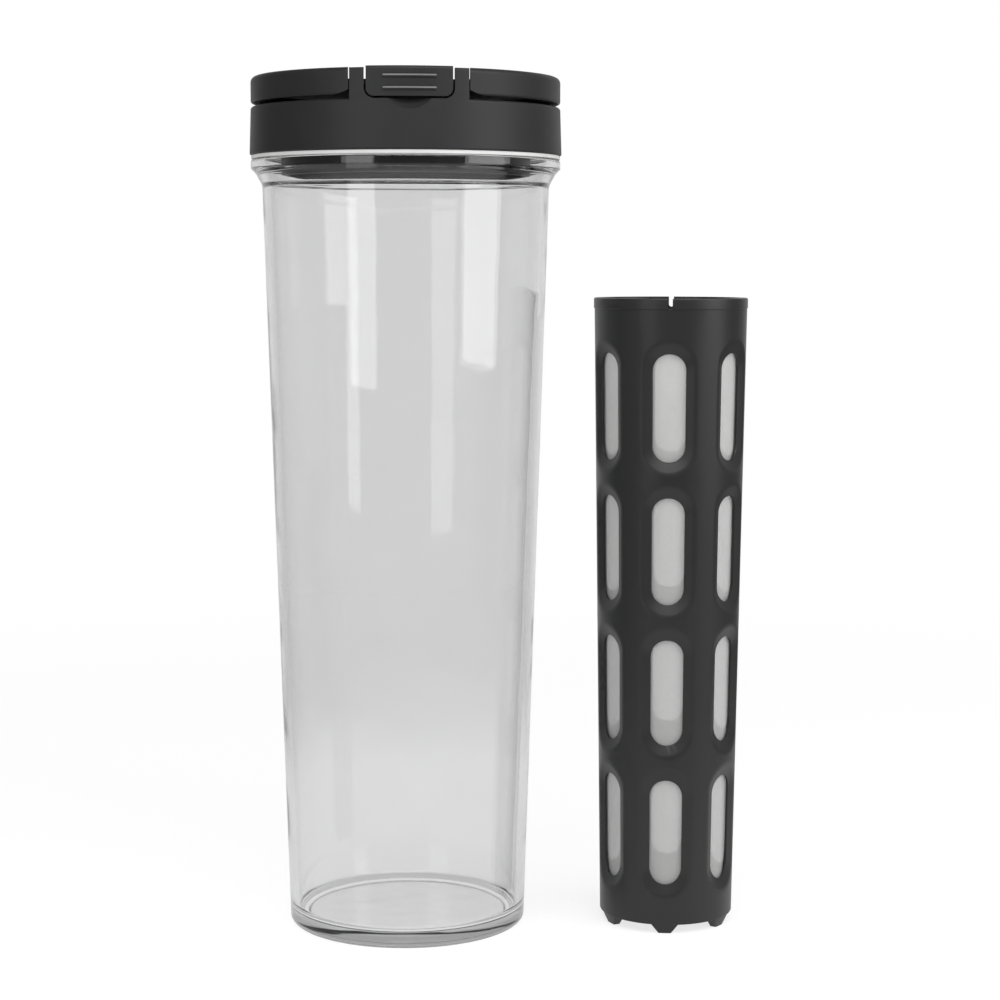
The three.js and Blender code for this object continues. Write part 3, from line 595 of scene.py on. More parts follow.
def moulded_silicone(name, dark, light):
    """Silicone rubber: soft, slightly see-through at its edges, with dust and flow in its skin."""
    finish = Finish(bpy.data.materials.new(name))
    place = finish.node("TexCoord", output="Object")
    clouds = finish.noise(place, silicone_cloud, 4.0)
    skin = finish.noise(place, silicone_skin, 2.0)
    shader = finish.node("BsdfPrincipled", None, {
        "Base Color": finish.tint(clouds, dark, light),
        "Roughness": 0.45 + 0.2 * clouds,
        "IOR": 1.41,
        "Subsurface Weight": 0.25,
        "Subsurface Radius": silicone_glow,
        "Subsurface Scale": 1.0,
        "Normal": finish.bump(skin, 0.25, skin_depth),
    })
    return finish.surface(shader)


paint(gasket, moulded_silicone("white_silicone", gasket_dark, gasket_light))
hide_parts("lid_gasket")
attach(gasket, "gasket")


# Screw collar
# The lid's lower ring, moulded in matte dark grey polypropylene: a skirt threaded inside, two ears
# that frame the latch, a thumb scoop below it, the latch's catch and the hinge lugs at the rear.
collar_low, collar_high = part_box("lid_collar")
cap_low, cap_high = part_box("flip_cap")
lid_radius = (collar_high.x - collar_low.x) / 2
cap_radius = (cap_high.x - cap_low.x) / 2
cap_top = cap_high.z
collar_bore = 49.27 * MM
collar_bottom = collar_low.z
seat = 0.3 * MM
roof_bottom, roof_thickness = deck_top + seat, 2.9 * MM
collar_top = roof_bottom + roof_thickness
collar_opening = 41 * MM
skirt_round, rim_round, shoulder_round, roof_fine = 0.4 * MM, 0.5 * MM, 1.0 * MM, 0.3 * MM
ear_drop = 0.2 * MM
ear_top = cap_top - ear_drop
ear_inner, ear_outer = 14.35 * MM, 18.95 * MM
ear_depth = 3.7 * MM
ear_foot = 1.6 * MM
ear_corner = 3.2 * MM
ear_round, ear_back_round = 0.7 * MM, 0.5 * MM
edge_round = 0.4 * MM
scoop_width, scoop_height, scoop_reach = 15.2 * MM, 3.2 * MM, 8.5 * MM
catch_half, catch_front, catch_back = 9 * MM, 46.17 * MM, 44.87 * MM
catch_height, catch_bead = 3.6 * MM, 0.8 * MM
catch_top = collar_top + catch_height
hinge_inset, hinge_rise = 5 * MM, 2.4 * MM
hinge_y = cap_radius - hinge_inset
hinge_z = cap_low.z + hinge_rise
lug_radius = 2.3 * MM
lug_inner, lug_outer = 13 * MM, 17 * MM
pin_radius = 1.1 * MM
lid_thread_turns = 1
collar_sink = 0.8 * MM


def bar(name, radius, x0, x1, y, z, vertices=48):
    """A round bar along X, about the jar's axis."""
    middle = (jar_axis.x + (x0 + x1) / 2, jar_axis.y + y, z)
    return added(
        name, bpy.ops.mesh.primitive_cylinder_add,
        vertices=vertices, radius=radius, depth=x1 - x0, location=middle, rotation=(0, math.pi / 2, 0),
    )


def lid_block(name, x0, x1, y0, y1, z0, z1):
    """A box placed from the jar's axis."""
    return block(name, (jar_axis.x + x0, jar_axis.y + y0, z0), (jar_axis.x + x1, jar_axis.y + y1, z1))


def slab(name, outline, y0, y1, axis=jar_axis):
    """An outline of (x, height) points about an axis, seen from the front, extruded to the back."""
    corners = [*outline, outline[0]]
    body = drawn(name, [Vector((axis.x + x, axis.y + y0, z)) for x, z in corners])
    bpy.ops.mesh.select_all(action="SELECT")
    bpy.ops.mesh.remove_doubles(threshold=0.001 * MM)
    bpy.ops.mesh.edge_face_add()
    bpy.ops.mesh.extrude_region_move(TRANSFORM_OT_translate={"value": (0, y1 - y0, 0)})
    weld()
    return body


collar = turned(
    "screw_collar",
    rounded([
        (collar_bore, collar_bottom, skirt_round),
        (lid_radius, collar_bottom, rim_round),
        (cap_radius, collar_top, shoulder_round),
        (collar_opening, collar_top, rim_round),
        (collar_opening, roof_bottom, roof_fine),
        (collar_bore, roof_bottom, rim_round),
    ]),
    jar_axis,
)
ears = turned(
    "ears",
    rounded([
        (cap_radius - ear_depth, collar_top - ear_foot, 0),
        (cap_radius, collar_top - ear_foot, 0),
        (cap_radius, ear_top, ear_round),
        (cap_radius - ear_depth, ear_top, ear_back_round),
    ]),
    jar_axis,
)
reach = cap_radius + overcut
ear_span = lid_block("ear_span", -ear_outer, ear_outer, -reach, -cap_radius / 2, 0, cap_top + overcut)
combine(ears, ear_span, "INTERSECT")
latch_gap = rounded([
    (-ear_inner, cap_top + overcut, 0),
    (-ear_inner, collar_top, ear_corner),
    (ear_inner, collar_top, ear_corner),
    (ear_inner, cap_top + overcut, 0),
])
combine(ears, slab("latch_gap", latch_gap, -reach, 0), "DIFFERENCE")
soften(ears, edge_round)
combine(collar, ears, "UNION")
for side in (-1, 1):
    lug_ends = sorted((side * lug_inner, side * lug_outer))
    lug = bar("lug", lug_radius, *lug_ends, hinge_y, hinge_z)
    foot = lid_block(
        "foot", *lug_ends, hinge_y - lug_radius, hinge_y + lug_radius, collar_top - collar_sink, hinge_z,
    )
    combine(lug, foot, "UNION")
    soften(lug, edge_round / 2, degrees=60)
    combine(collar, lug, "UNION")
pin_hole = bar("pin_hole", pin_radius + seat, -cap_radius, cap_radius, hinge_y, hinge_z)
combine(collar, pin_hole, "DIFFERENCE")
catch = lid_block(
    "catch", -catch_half, catch_half, -catch_front, -catch_back, collar_top - collar_sink, catch_top,
)
bead = lid_block(
    "bead", -catch_half, catch_half, -catch_front - catch_bead, -catch_back - overcut / 2,
    catch_top - catch_bead, catch_top - overcut / 50,
)
combine(catch, bead, "UNION")
soften(catch, edge_round / 2)
combine(collar, catch, "UNION")
scoop_round = (scoop_width ** 2 / 4 + scoop_height ** 2) / (2 * scoop_height)
scoop = added(
    "scoop", bpy.ops.mesh.primitive_uv_sphere_add,
    segments=96, ring_count=64, radius=math.hypot(scoop_round, scoop_reach),
    location=(jar_axis.x, jar_axis.y - cap_radius - scoop_reach, collar_top - scoop_height + scoop_round),
)
combine(collar, scoop, "DIFFERENCE")
lid_thread = screw_thread(
    "lid_thread", jar_axis, collar_bore, -1, flange_top + jar_thread_start, 90, lid_thread_turns,
)
combine(collar, lid_thread, "UNION")
smooth(collar)
paint(collar, lid_plastic)
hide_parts("lid_collar")
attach(collar, "lid")


# Hinge pin
# A ground steel rod with chamfered ends, pressed through the collar's rear lugs; the cap's knuckle
# turns on it.
pin_chamfer = 0.25 * MM
steel_dark, steel_light = (0.5, 0.5, 0.51), (0.62, 0.62, 0.63)
scratch_size, scratch_depth, stain_size = 0.12 * MM, 0.01 * MM, 3 * MM


def ground_steel(name):
    """Bright ground steel with fine rings of grinding round its axis, which lies along X."""
    finish = Finish(bpy.data.materials.new(name))
    place = finish.node("TexCoord", output="Object")
    rings = finish.node("Mapping", None, {"Vector": place, "Scale": (1, 0.02, 0.02)})
    scratches = finish.noise(rings, scratch_size, 4.0)
    stains = finish.noise(place, stain_size, 3.0)
    shader = finish.node("BsdfPrincipled", None, {
        "Base Color": finish.tint(stains, steel_dark, steel_light),
        "Metallic": 1.0,
        "Roughness": 0.24 + 0.16 * scratches,
        "Normal": finish.bump(scratches, 0.3, scratch_depth),
    })
    return finish.surface(shader)


def steel_pin(name, radius, half_length, y, z):
    """A turned pin along X with both ends chamfered."""
    pin = bar(name, radius, -half_length, half_length, y, z)
    soften(pin, pin_chamfer, segments=2, degrees=60)
    smooth(pin)
    return pin


steel = ground_steel("ground_steel")
hinge_pin = steel_pin("cap_hinge_pin", pin_radius, lug_outer, hinge_y, hinge_z)
paint(hinge_pin, steel)
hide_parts("hinge_pin")
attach(hinge_pin, "lid")


# Flip cap
# The lid's upper moulding in the same matte plastic: a dished disc with a rounded rim, cut away at
# the front for the ears and the latch and at the rear for the hinge, with a knuckle at each cut.
cap_bottom = cap_low.z
stopper_low, stopper_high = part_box("cap_stopper")
cap_wall = 2.8 * MM
cap_inner = cap_radius - cap_wall
cap_round, cap_edge, cap_fine, cap_lip_round = 1.8 * MM, 0.8 * MM, 0.3 * MM, 0.6 * MM
dish_depth, dish_round = 3.4 * MM, 1.0 * MM
dish_top = cap_top - dish_depth
dish_bottom = stopper_high.z + seat
front_half = ear_outer + seat
front_depth, rear_gap, hinge_play = 8.2 * MM, 1.2 * MM, 0.4 * MM
front_edge = cap_radius - front_depth
rear_half = lug_outer + hinge_play
rear_edge = hinge_y - lug_radius - rear_gap
knuckle_half = lug_inner - hinge_play
relief_length, relief_rise = 6.5 * MM, 1.7 * MM
relief_steps = 6
latch_inset, latch_drop = 5.8 * MM, 2.5 * MM
latch_y = cap_radius - latch_inset
latch_z = cap_top - latch_drop
latch_knuckle = 1.8 * MM
latch_pin_radius = 0.9 * MM
latch_arm_half = 8.5 * MM
cap = turned(
    "dished_cap",
    rounded([
        (0, dish_bottom, 0),
        (cap_inner, dish_bottom, cap_edge),
        (cap_inner, cap_bottom, cap_fine),
        (cap_radius, cap_bottom, cap_edge),
        (cap_radius, cap_top, cap_round),
        (cap_inner, cap_top, cap_lip_round),
        (cap_inner, dish_top, dish_round),
        (0, dish_top, 0),
    ]),
    jar_axis,
)
cut_low, cut_high = cap_bottom - overcut, cap_top + overcut
front_cut = lid_block("front_cut", -front_half, front_half, -reach, -front_edge, cut_low, cut_high)
combine(cap, front_cut, "DIFFERENCE")
rear_cut = lid_block("rear_cut", -rear_half, rear_half, rear_edge, reach, cut_low, cut_high)
combine(cap, rear_cut, "DIFFERENCE")
for side in (-1, 1):
    relief = [(front_half - overcut, cut_low), (front_half + relief_length, cut_low)]
    for step in range(relief_steps + 1):
        share = step / relief_steps
        climb = cap_bottom + relief_rise * share ** 2
        relief.append((front_half + relief_length * (1 - share), climb))
    relief.append((front_half - overcut, cap_bottom + relief_rise))
    relief = [(side * x, z) for x, z in relief]
    combine(cap, slab("relief", relief, -reach, -front_edge + cap_wall), "DIFFERENCE")
soften(cap, edge_round)
strap = lid_block("strap", -knuckle_half, knuckle_half, rear_edge - overcut, hinge_y, dish_bottom, dish_top)
knuckle = bar("knuckle", lug_radius, -knuckle_half, knuckle_half, hinge_y, hinge_z)
combine(knuckle, strap, "UNION")
soften(knuckle, edge_round / 2, degrees=60)
combine(cap, knuckle, "UNION")
arm = lid_block(
    "arm", -latch_arm_half, latch_arm_half, -latch_y, -front_edge + overcut, latch_z - latch_knuckle, latch_z,
)
front_knuckle = bar("front_knuckle", latch_knuckle, -latch_arm_half, latch_arm_half, -latch_y, latch_z)
combine(front_knuckle, arm, "UNION")
soften(front_knuckle, edge_round / 2, degrees=60)
combine(cap, front_knuckle, "UNION")
for radius, half_length, y, z in (
    (pin_radius + seat, knuckle_half + overcut, hinge_y, hinge_z),
    (latch_pin_radius + seat, latch_arm_half + overcut, -latch_y, latch_z),
):
    combine(cap, bar("hole", radius, -half_length, half_length, y, z), "DIFFERENCE")
smooth(cap)
paint(cap, lid_plastic)
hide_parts("flip_cap")
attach(cap, "cap")


# Pour stopper
# A pad of grey silicone, pressed into the underside of the cap, which closes the pour slot from above
# when the cap is latched.
stopper_lap, stopper_round = 0.6 * MM, 0.35 * MM
stopper_margin = pour_wall + stopper_lap
stopper_dark, stopper_light = (0.42, 0.42, 0.415), (0.5, 0.5, 0.49)
stopper = obround(
    "pour_stopper", pour_length + 2 * stopper_margin, pour_width + 2 * stopper_margin, pour_place,
    stopper_low.z, stopper_high.z,
)
soften(stopper, stopper_round)
smooth(stopper)
paint(stopper, moulded_silicone("grey_silicone", stopper_dark, stopper_light))
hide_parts("cap_stopper")
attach(stopper, "cap")


# Latch pin
# A thin steel rod through the cap's front knuckle, on which the latch swings.
latch_knuckle_inner, latch_knuckle_outer = 8.8 * MM, 12.8 * MM
latch_pin = steel_pin("latch_hinge_pin", latch_pin_radius, latch_knuckle_outer, -latch_y, latch_z)
paint(latch_pin, steel)
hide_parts("latch_pin")
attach(latch_pin, "cap")


# Latch
# A curved tab in the lid's plastic with two grip ridges, which fills the gap between the ears. Two
# knuckles at its back hang it on its pin, and a hook on its inner face snaps under the catch.
latch_low, latch_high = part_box("latch")
latch_play = 0.6 * MM
latch_half = ear_inner - latch_play
latch_steps = 192
latch_thickness = 2.8 * MM
latch_inner = cap_radius - latch_thickness
latch_corner = 2.5 * MM
latch_top_round, latch_back_round = 1.0 * MM, 0.6 * MM
ridge_half, ridge_height, ridge_proud = 8.5 * MM, 1.3 * MM, 0.5 * MM
ridge_drops = (2.8 * MM, 6.7 * MM)
ridge_round, ridge_end_round = 0.45 * MM, 0.48 * ridge_height
ridge_highlight_heights = [cap_top - drop + 0.12 * ridge_height for drop in ridge_drops]
ridge_foot = cap_radius + 0.1 * MM
hook_half, hook_height = 7.5 * MM, 1.3 * MM
hook_top = catch_top - catch_bead - seat
latch = turned(
    "latch_tab",
    rounded([
        (latch_inner, latch_low.z - overcut, 0),
        (cap_radius, latch_low.z - overcut, 0),
        (cap_radius, latch_high.z, latch_top_round),
        (latch_inner, latch_high.z, latch_back_round),
    ]),
    jar_axis, steps=latch_steps,
)
latch_outline = rounded([
    (-latch_half, latch_high.z + overcut, 0),
    (-latch_half, latch_low.z, latch_corner),
    (latch_half, latch_low.z, latch_corner),
    (latch_half, latch_high.z + overcut, 0),
])
combine(latch, slab("latch_outline", latch_outline, -reach, -cap_radius / 2), "INTERSECT")
soften(latch, edge_round)
for drop in ridge_drops:
    middle = cap_top - drop
    ridge = turned(
        "ridge",
        rounded([
            (cap_radius - overcut, middle - ridge_height / 2, 0),
            (cap_radius + ridge_proud, middle - ridge_height / 2, ridge_round),
            (cap_radius + ridge_proud, middle + ridge_height / 2, ridge_round),
            (cap_radius - overcut, middle + ridge_height / 2, 0),
        ]),
        jar_axis, steps=latch_steps,
    )
    pill = [
        (side * ridge_half, middle + side * end * ridge_height / 2, ridge_end_round)
        for side, end in ((-1, 1), (1, -1), (1, 1), (-1, -1))
    ]
    combine(ridge, slab("pill", rounded(pill), -reach, 0), "INTERSECT")
    combine(latch, ridge, "UNION")
for side in (-1, 1):
    ends = sorted((side * latch_knuckle_inner, side * latch_knuckle_outer))
    hanger = bar("hanger", latch_knuckle, *ends, -latch_y, latch_z)
    arm = lid_block(
        "arm", *ends, -latch_inner - overcut, -latch_y, latch_z - latch_knuckle, latch_z + latch_knuckle,
    )
    combine(hanger, arm, "UNION")
    combine(latch, hanger, "UNION")
hook = lid_block(
    "hook", -hook_half, hook_half, -latch_inner - overcut, -catch_front - seat,
    hook_top - hook_height, hook_top,
)
soften(hook, edge_round / 2)
combine(latch, hook, "UNION")
pin_hole = bar("pin_hole", latch_pin_radius + seat, -cap_radius, cap_radius, -latch_y, latch_z)
combine(latch, pin_hole, "DIFFERENCE")
smooth(latch)
# The latch's plastic carries a painted highlight line on each grip ridge.
paint(latch, moulded_plastic(
    "latch_plastic", lid_dark, lid_light, **lid_skin, highlight_heights=ridge_highlight_heights, highlight_reach=ridge_foot,
))
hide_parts("latch")
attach(latch, "latch")


# Basket cage
# The filter basket's frame, moulded in satin dark grey polypropylene: a tapered tube with six columns
# of four round-ended windows, each in a sloped recess, six feet below and two notches in the rim.
cage_low, cage_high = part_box("filter_cage")
basket_axis = (cage_low + cage_high) / 2
basket_turn = math.radians(-8.2)
basket_height = cage_high.z
columns, rows = 6, 4
foot_height = 3.1 * MM
basket_base = 22.7 * MM
basket_top = 25.85 * MM
basket_wall = 2.2 * MM
rim_height, rim_proud = 3.6 * MM, 0.19 * MM
rim_edge, rim_bevel = 0.5 * MM, 0.15 * MM
rim_inner_edge, rim_inner_bevel = 0.4 * MM, 0.1 * MM
window_half = 6 * MM
window_top_band, window_bottom_band, window_land = 18.3 * MM, 16.8 * MM, 11.9 * MM
recess_side, recess_end, recess_depth = 3 * MM, 3.9 * MM, 1.5 * MM
recess_round, window_round = 0.9 * MM, 0.25 * MM
bottom_round, bottom_bevel = 0.5 * MM, 0.15 * MM
basket_lip, basket_lip_height, basket_lip_edge = 15.5 * MM, 1.5 * MM, 0.4 * MM
basket_foot_top, basket_foot_bottom = 9 * MM, 4.2 * MM
basket_foot_inner, basket_foot_outer = 19.2 * MM, 21.4 * MM
notch_half, notch_depth = 0.85 * MM, 3.5 * MM
notch_round = 0.98 * notch_half
cage_dark, cage_light = (0.016, 0.016, 0.0165), (0.022, 0.022, 0.0225)
cage_skin = {"roughness": 0.38, "grain": 0.25 * MM, "grain_depth": 0.02 * MM, "flow": 0.15}
end_points, side_cuts = 40, 12
bay_columns, bay_rows = 17, 15
basket_slope = (basket_top - basket_base) / (basket_height - foot_height)
sheet_radius = basket_base - basket_slope * foot_height
bay_width = math.tau * sheet_radius / columns
sheet_bottom = foot_height + bottom_round
sheet_top = basket_height - rim_height
windows_top = basket_height - window_top_band
window_height = (windows_top - window_bottom_band - (rows - 1) * window_land) / rows
window_pitch = window_height + window_land
basket_centre = Vector((0, 0, 0))


def basket_outer(height):
    """Radius of the basket's outer surface at a height."""
    return sheet_radius + basket_slope * height


sheet_wall = basket_wall * sheet_radius / basket_outer(basket_height / 2)


def basket_inner(height):
    """Radius of the basket's inner surface at a height; the wall thickens a little upwards."""
    return basket_outer(height) * (1 - sheet_wall / sheet_radius)


def bay_ring(half_width, half_height, middle, depth):
    """A window's round-ended outline in the flat sheet: a circle drawn apart, with its sides divided."""
    ring = added(
        "bay_ring", bpy.ops.mesh.primitive_circle_add,
        vertices=end_points, radius=half_width, rotation=(math.pi / 2, math.pi / end_points, 0),
    )
    bpy.ops.object.mode_set(mode="EDIT")
    straight = half_height - half_width
    for side in (-1, 1):
        select_where(ring, lambda place: place.z * side > 0)
        bpy.ops.transform.translate(value=(0, 0, side * straight))
    side_end = straight + half_width * math.sin(math.tau / end_points)
    select_where(ring, lambda place: abs(place.z) < side_end)
    bpy.ops.mesh.subdivide(number_cuts=side_cuts)
    bpy.ops.mesh.select_all(action="SELECT")
    bpy.ops.transform.translate(value=(0, depth, middle))
    bpy.ops.object.mode_set(mode="OBJECT")
    return ring


def bay_frame(bottom, top, depth):
    """The outline of one bay of the flat sheet: a grid with its inside taken out."""
    bpy.ops.object.select_all(action="DESELECT")
    bpy.ops.mesh.primitive_grid_add(
        x_subdivisions=bay_columns, y_subdivisions=bay_rows, size=1, rotation=(math.pi / 2, 0, 0),
        location=(0, depth, (bottom + top) / 2),
    )
    border = bpy.context.object
    border.scale = (bay_width, top - bottom, 1)
    bpy.ops.object.transform_apply()
    bpy.ops.object.mode_set(mode="EDIT")
    low, high = bottom + MM / 100, top - MM / 100
    edge = bay_width / 2 - MM / 100
    select_where(border, lambda place: abs(place.x) < edge and low < place.z < high)
    bpy.ops.mesh.delete(type="VERT")
    bpy.ops.object.mode_set(mode="OBJECT")
    return border


def joined(bodies):
    """Makes one body of several, with the vertices that they share merged."""
    choose(bodies[0])
    for body in bodies[1:]:
        body.select_set(True)
    bpy.ops.object.join()
    bpy.ops.object.mode_set(mode="EDIT")
    weld()
    return bodies[0]


def band(near, far, cuts=0):
    """A strip of faces from one outline to the next."""
    strip = joined([near, far])
    bpy.ops.object.mode_set(mode="EDIT")
    bpy.ops.mesh.select_all(action="SELECT")
    bpy.ops.mesh.bridge_edge_loops(number_cuts=cuts, interpolation="LINEAR")
    bpy.ops.object.mode_set(mode="OBJECT")
    return strip


def bay(row):
    """One bay of the flat sheet: its face, the sloped recess, the window's edge and its back."""
    middle = windows_top - window_height / 2 - row * window_pitch
    last = row == rows - 1
    top = sheet_top if row == 0 else middle + window_pitch / 2
    bottom = sheet_bottom if last else middle - window_pitch / 2
    back_bottom = foot_height + basket_lip_height if last else bottom
    narrow = sheet_radius / basket_outer(middle)
    half = window_half * narrow
    tall = window_height / 2
    recess_half = half + recess_side * narrow
    recess_tall = tall + recess_end
    face = joined([
        band(bay_frame(bottom, top, 0), bay_ring(recess_half, recess_tall, middle, 0), 1),
        band(bay_ring(recess_half, recess_tall, middle, 0), bay_ring(half, tall, middle, recess_depth)),
    ])
    soften(face, recess_round, segments=4, degrees=15)
    sheet = joined([
        face,
        band(bay_ring(half, tall, middle, recess_depth), bay_ring(half, tall, middle, sheet_wall)),
        band(bay_ring(half, tall, middle, sheet_wall), bay_frame(back_bottom, top, sheet_wall), 1),
    ])
    soften(sheet, window_round, segments=2, degrees=45)
    return sheet


def select_loop(body, height, inner):
    """In edit mode, selects the wall's outer or inner edge loop at a height."""
    between = (basket_outer(height) + basket_inner(height)) / 2
    select_where(
        body,
        lambda place: abs(place.z - height) < MM / 50 and (place.xy.length < between) == inner,
    )


def step_loop(radius, height, to_radius, to_height):
    """Extrudes the selected loop to another radius and height."""
    bpy.ops.mesh.extrude_edges_move()
    share = to_radius / radius
    bpy.ops.transform.resize(value=(share, share, 1), center_override=(0, 0, height))
    bpy.ops.transform.translate(value=(0, 0, to_height - height))


def close_end(body, outer_height, inner_height, stations):
    """Closes an end of the wall: a loop steps from its outer edge along stations to its inner edge."""
    bpy.ops.object.mode_set(mode="EDIT")
    select_loop(body, outer_height, False)
    here = (basket_outer(outer_height), outer_height)
    for there in stations:
        step_loop(*here, *there)
        here = there
    last_radius, last_height = here
    inner_radius = basket_inner(inner_height)
    near = lambda place, radius, height: (
        abs(place.z - height) < MM / 50 and abs(place.xy.length - radius) < MM / 20
    )
    select_where(
        body,
        lambda place: near(place, last_radius, last_height) or near(place, inner_radius, inner_height),
    )
    bpy.ops.mesh.bridge_edge_loops()
    weld(0.01 * MM)


cage = joined([bay(row) for row in range(rows)])
cage.name = "basket_cage"
modify(
    cage, "ARRAY", count=columns, use_relative_offset=False, use_constant_offset=True,
    constant_offset_displace=(bay_width, 0, 0), use_merge_vertices=True, merge_threshold=0.001 * MM,
)
modify(cage, "SIMPLE_DEFORM", deform_method="BEND", deform_axis="Z", angle=math.tau)
bpy.ops.object.mode_set(mode="EDIT")
bpy.ops.mesh.select_all(action="SELECT")
bpy.ops.transform.translate(value=(0, -sheet_radius, 0))
weld(0.01 * MM)
basket_taper = basket_slope * (sheet_top - sheet_bottom) / sheet_radius
modify(cage, "SIMPLE_DEFORM", deform_method="TAPER", deform_axis="Z", factor=basket_taper)
rim_outer = basket_top + rim_proud
rim_inner = basket_inner(sheet_top)
close_end(cage, sheet_top, sheet_top, [
    (rim_outer, sheet_top + rim_proud),
    (rim_outer, basket_height - rim_edge),
    (rim_outer - rim_bevel, basket_height - rim_bevel),
    (rim_outer - rim_edge, basket_height),
    (rim_inner + rim_inner_edge, basket_height),
    (rim_inner + rim_inner_bevel, basket_height - rim_inner_bevel),
    (rim_inner, basket_height - rim_inner_edge),
])
lip_top = foot_height + basket_lip_height
close_end(cage, sheet_bottom, lip_top, [
    (basket_base - bottom_bevel, foot_height + bottom_bevel),
    (basket_base - bottom_round, foot_height),
    (basket_lip + basket_lip_edge, foot_height),
    (basket_lip, foot_height + basket_lip_edge),
    (basket_lip, lip_top - basket_lip_edge),
    (basket_lip + basket_lip_edge, lip_top),
])
foot_outline = [
    (-basket_foot_bottom / 2, -overcut),
    (basket_foot_bottom / 2, -overcut),
    (basket_foot_bottom / 2, 0),
    (basket_foot_top / 2, foot_height),
    (basket_foot_top / 2, foot_height + overcut),
    (-basket_foot_top / 2, foot_height + overcut),
    (-basket_foot_top / 2, foot_height),
    (-basket_foot_bottom / 2, 0),
]
foot_top = foot_height + basket_lip_height / 2
for column in range(columns):
    foot = turned(
        "basket_foot",
        [
            (basket_foot_inner, 0),
            (basket_foot_outer, 0),
            (basket_base - seat, foot_height),
            (basket_base - seat, foot_top),
            (basket_foot_inner, foot_top),
        ],
        basket_centre, steps=columns * bay_columns,
    )
    wedge = slab("wedge", foot_outline, -2 * basket_base, 0, basket_centre)
    combine(foot, wedge, "INTERSECT")
    soften(foot, edge_round, degrees=30)
    choose(foot)
    foot.rotation_euler.z = math.tau * column / columns
    bpy.ops.object.transform_apply()
    combine(cage, foot, "UNION")
notch_bottom = basket_height - notch_depth
notch_outline = rounded([
    (-notch_half, basket_height + overcut, 0),
    (-notch_half, notch_bottom, notch_round),
    (notch_half, notch_bottom, notch_round),
    (notch_half, basket_height + overcut, 0),
])
notch = slab("notch", notch_outline, -2 * basket_top, 2 * basket_top, basket_centre)
combine(cage, notch, "DIFFERENCE")
choose(cage)
cage.rotation_euler.z = basket_turn
cage.location = (basket_axis.x, basket_axis.y, 0)
bpy.ops.object.transform_apply()
smooth(cage)
paint(cage, moulded_plastic("cage_plastic", cage_dark, cage_light, **cage_skin))
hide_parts("filter_cage")
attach(cage, "filter")


# Basket mesh
# A sleeve of fine woven polyester, pale grey and half see-through, welded behind the windows. It is
# made as a thin tapered tube with the slight waves of a cloth that is only held at its edges.
mesh_low, mesh_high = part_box("filter_mesh")
mesh_clearance = 0.5 * MM
mesh_thickness = 0.5 * MM
mesh_rows = 40
thread_size, speck_size = 0.42 * MM, 0.8 * MM
fold_size, fold_depth = 7 * MM, 0.3 * MM
mesh_dark, mesh_light = (0.475, 0.475, 0.47), (0.59, 0.59, 0.585)


def woven_mesh(name, flat):
    """Woven cloth with threads of one size, round an upright axis or flat, part of it see-through."""
    finish = Finish(bpy.data.materials.new(name))
    place = finish.node("Mapping", None, {
        "Vector": finish.node("TexCoord", output="Object"),
        "Location": (-basket_axis.x, -basket_axis.y, 0),
    })
    axes = finish.node("SeparateXYZ", None, {"Vector": place})
    across, along = axes, axes.other("Y")
    if not flat:
        across = basket_inner(basket_height / 2) * axes.maths("ARCTAN2", along, across)
        along = axes.other("Z")
    step = math.tau / thread_size
    warp = axes.maths("SINE", across * step, 0)
    weft = axes.maths("SINE", along * step, 0)
    weave = 0.5 + 0.5 * warp * weft
    stretched = finish.node("Mapping", None, {"Vector": place, "Scale": (1, 1, 0.3)})
    folds = finish.noise(stretched, fold_size, 3.0)
    specks = finish.noise(place, speck_size, 3.0)
    shader = finish.node("BsdfPrincipled", None, {
        "Base Color": finish.tint(0.5 * weave + 0.5 * specks, mesh_dark, mesh_light),
        "Roughness": 0.6 + 0.25 * specks,
        "Alpha": 0.34 + 0.1 * weave + 0.1 * folds,
        "Normal": finish.bump(4 * folds + 0.25 * weave, 0.5, fold_depth),
    })
    return finish.surface(shader)


def sleeve_outer(height):
    """Radius of the mesh sleeve's outer face at a height."""
    return basket_inner(height) - mesh_clearance


sleeve_heights = [mesh_low.z + (mesh_high.z - mesh_low.z) * k / mesh_rows for k in range(mesh_rows + 1)]
sleeve_outline = [(sleeve_outer(z), z) for z in sleeve_heights]
sleeve_outline += [(sleeve_outer(z) - mesh_thickness, z) for z in reversed(sleeve_heights)]
sleeve = turned("basket_mesh", sleeve_outline, basket_axis, steps=144)
smooth(sleeve)
paint(sleeve, woven_mesh("woven_mesh", False))
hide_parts("filter_mesh")
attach(sleeve, "filter")


# Basket floor
# A disc of the same mesh, welded at its rim to the basket's inner lip, which keeps the grounds in.
floor_low, floor_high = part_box("filter_floor")
disc_play, disc_ridge = 0.3 * MM, 1.2 * MM
disc_radius = (floor_high.x - floor_low.x) / 2 - disc_play
disc_face = (floor_low.z + floor_high.z) / 2
disc = turned(
    "basket_floor",
    [
        (0, floor_low.z),
        (disc_radius, floor_low.z),
        (disc_radius, floor_high.z),
        (disc_radius - disc_ridge, floor_high.z),
        (disc_radius - 1.5 * disc_ridge, disc_face),
        (0, disc_face),
    ],
    basket_axis,
)
smooth(disc)
paint(disc, woven_mesh("woven_disc", True))
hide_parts("filter_floor")
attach(disc, "filter")


# Studio
# A white table in a white room, with a strong softbox on the right, a weak one on the left and one above
# the camera. Seen straight or through plastic the room is plain white; what is mirrored is darker in front.
floor_size, floor_front = 6.0, 1.2
floor_glow, floor_seen, floor_paint = 0.76, 0.3, 0.75
floor_near, floor_far = 0.25, 0.8
mirror_near, mirror_far = 0.22, 0.5
room_ambient, room_front, room_back = 0.42, 0.08, 0.78
back_from, back_full, back_full_inside, back_side = 0.65, 0.92, 0.8, 0.25
table_place = (0, floor_size / 2 - floor_front, 0)
table = added("table", bpy.ops.mesh.primitive_plane_add, size=floor_size, location=table_place)


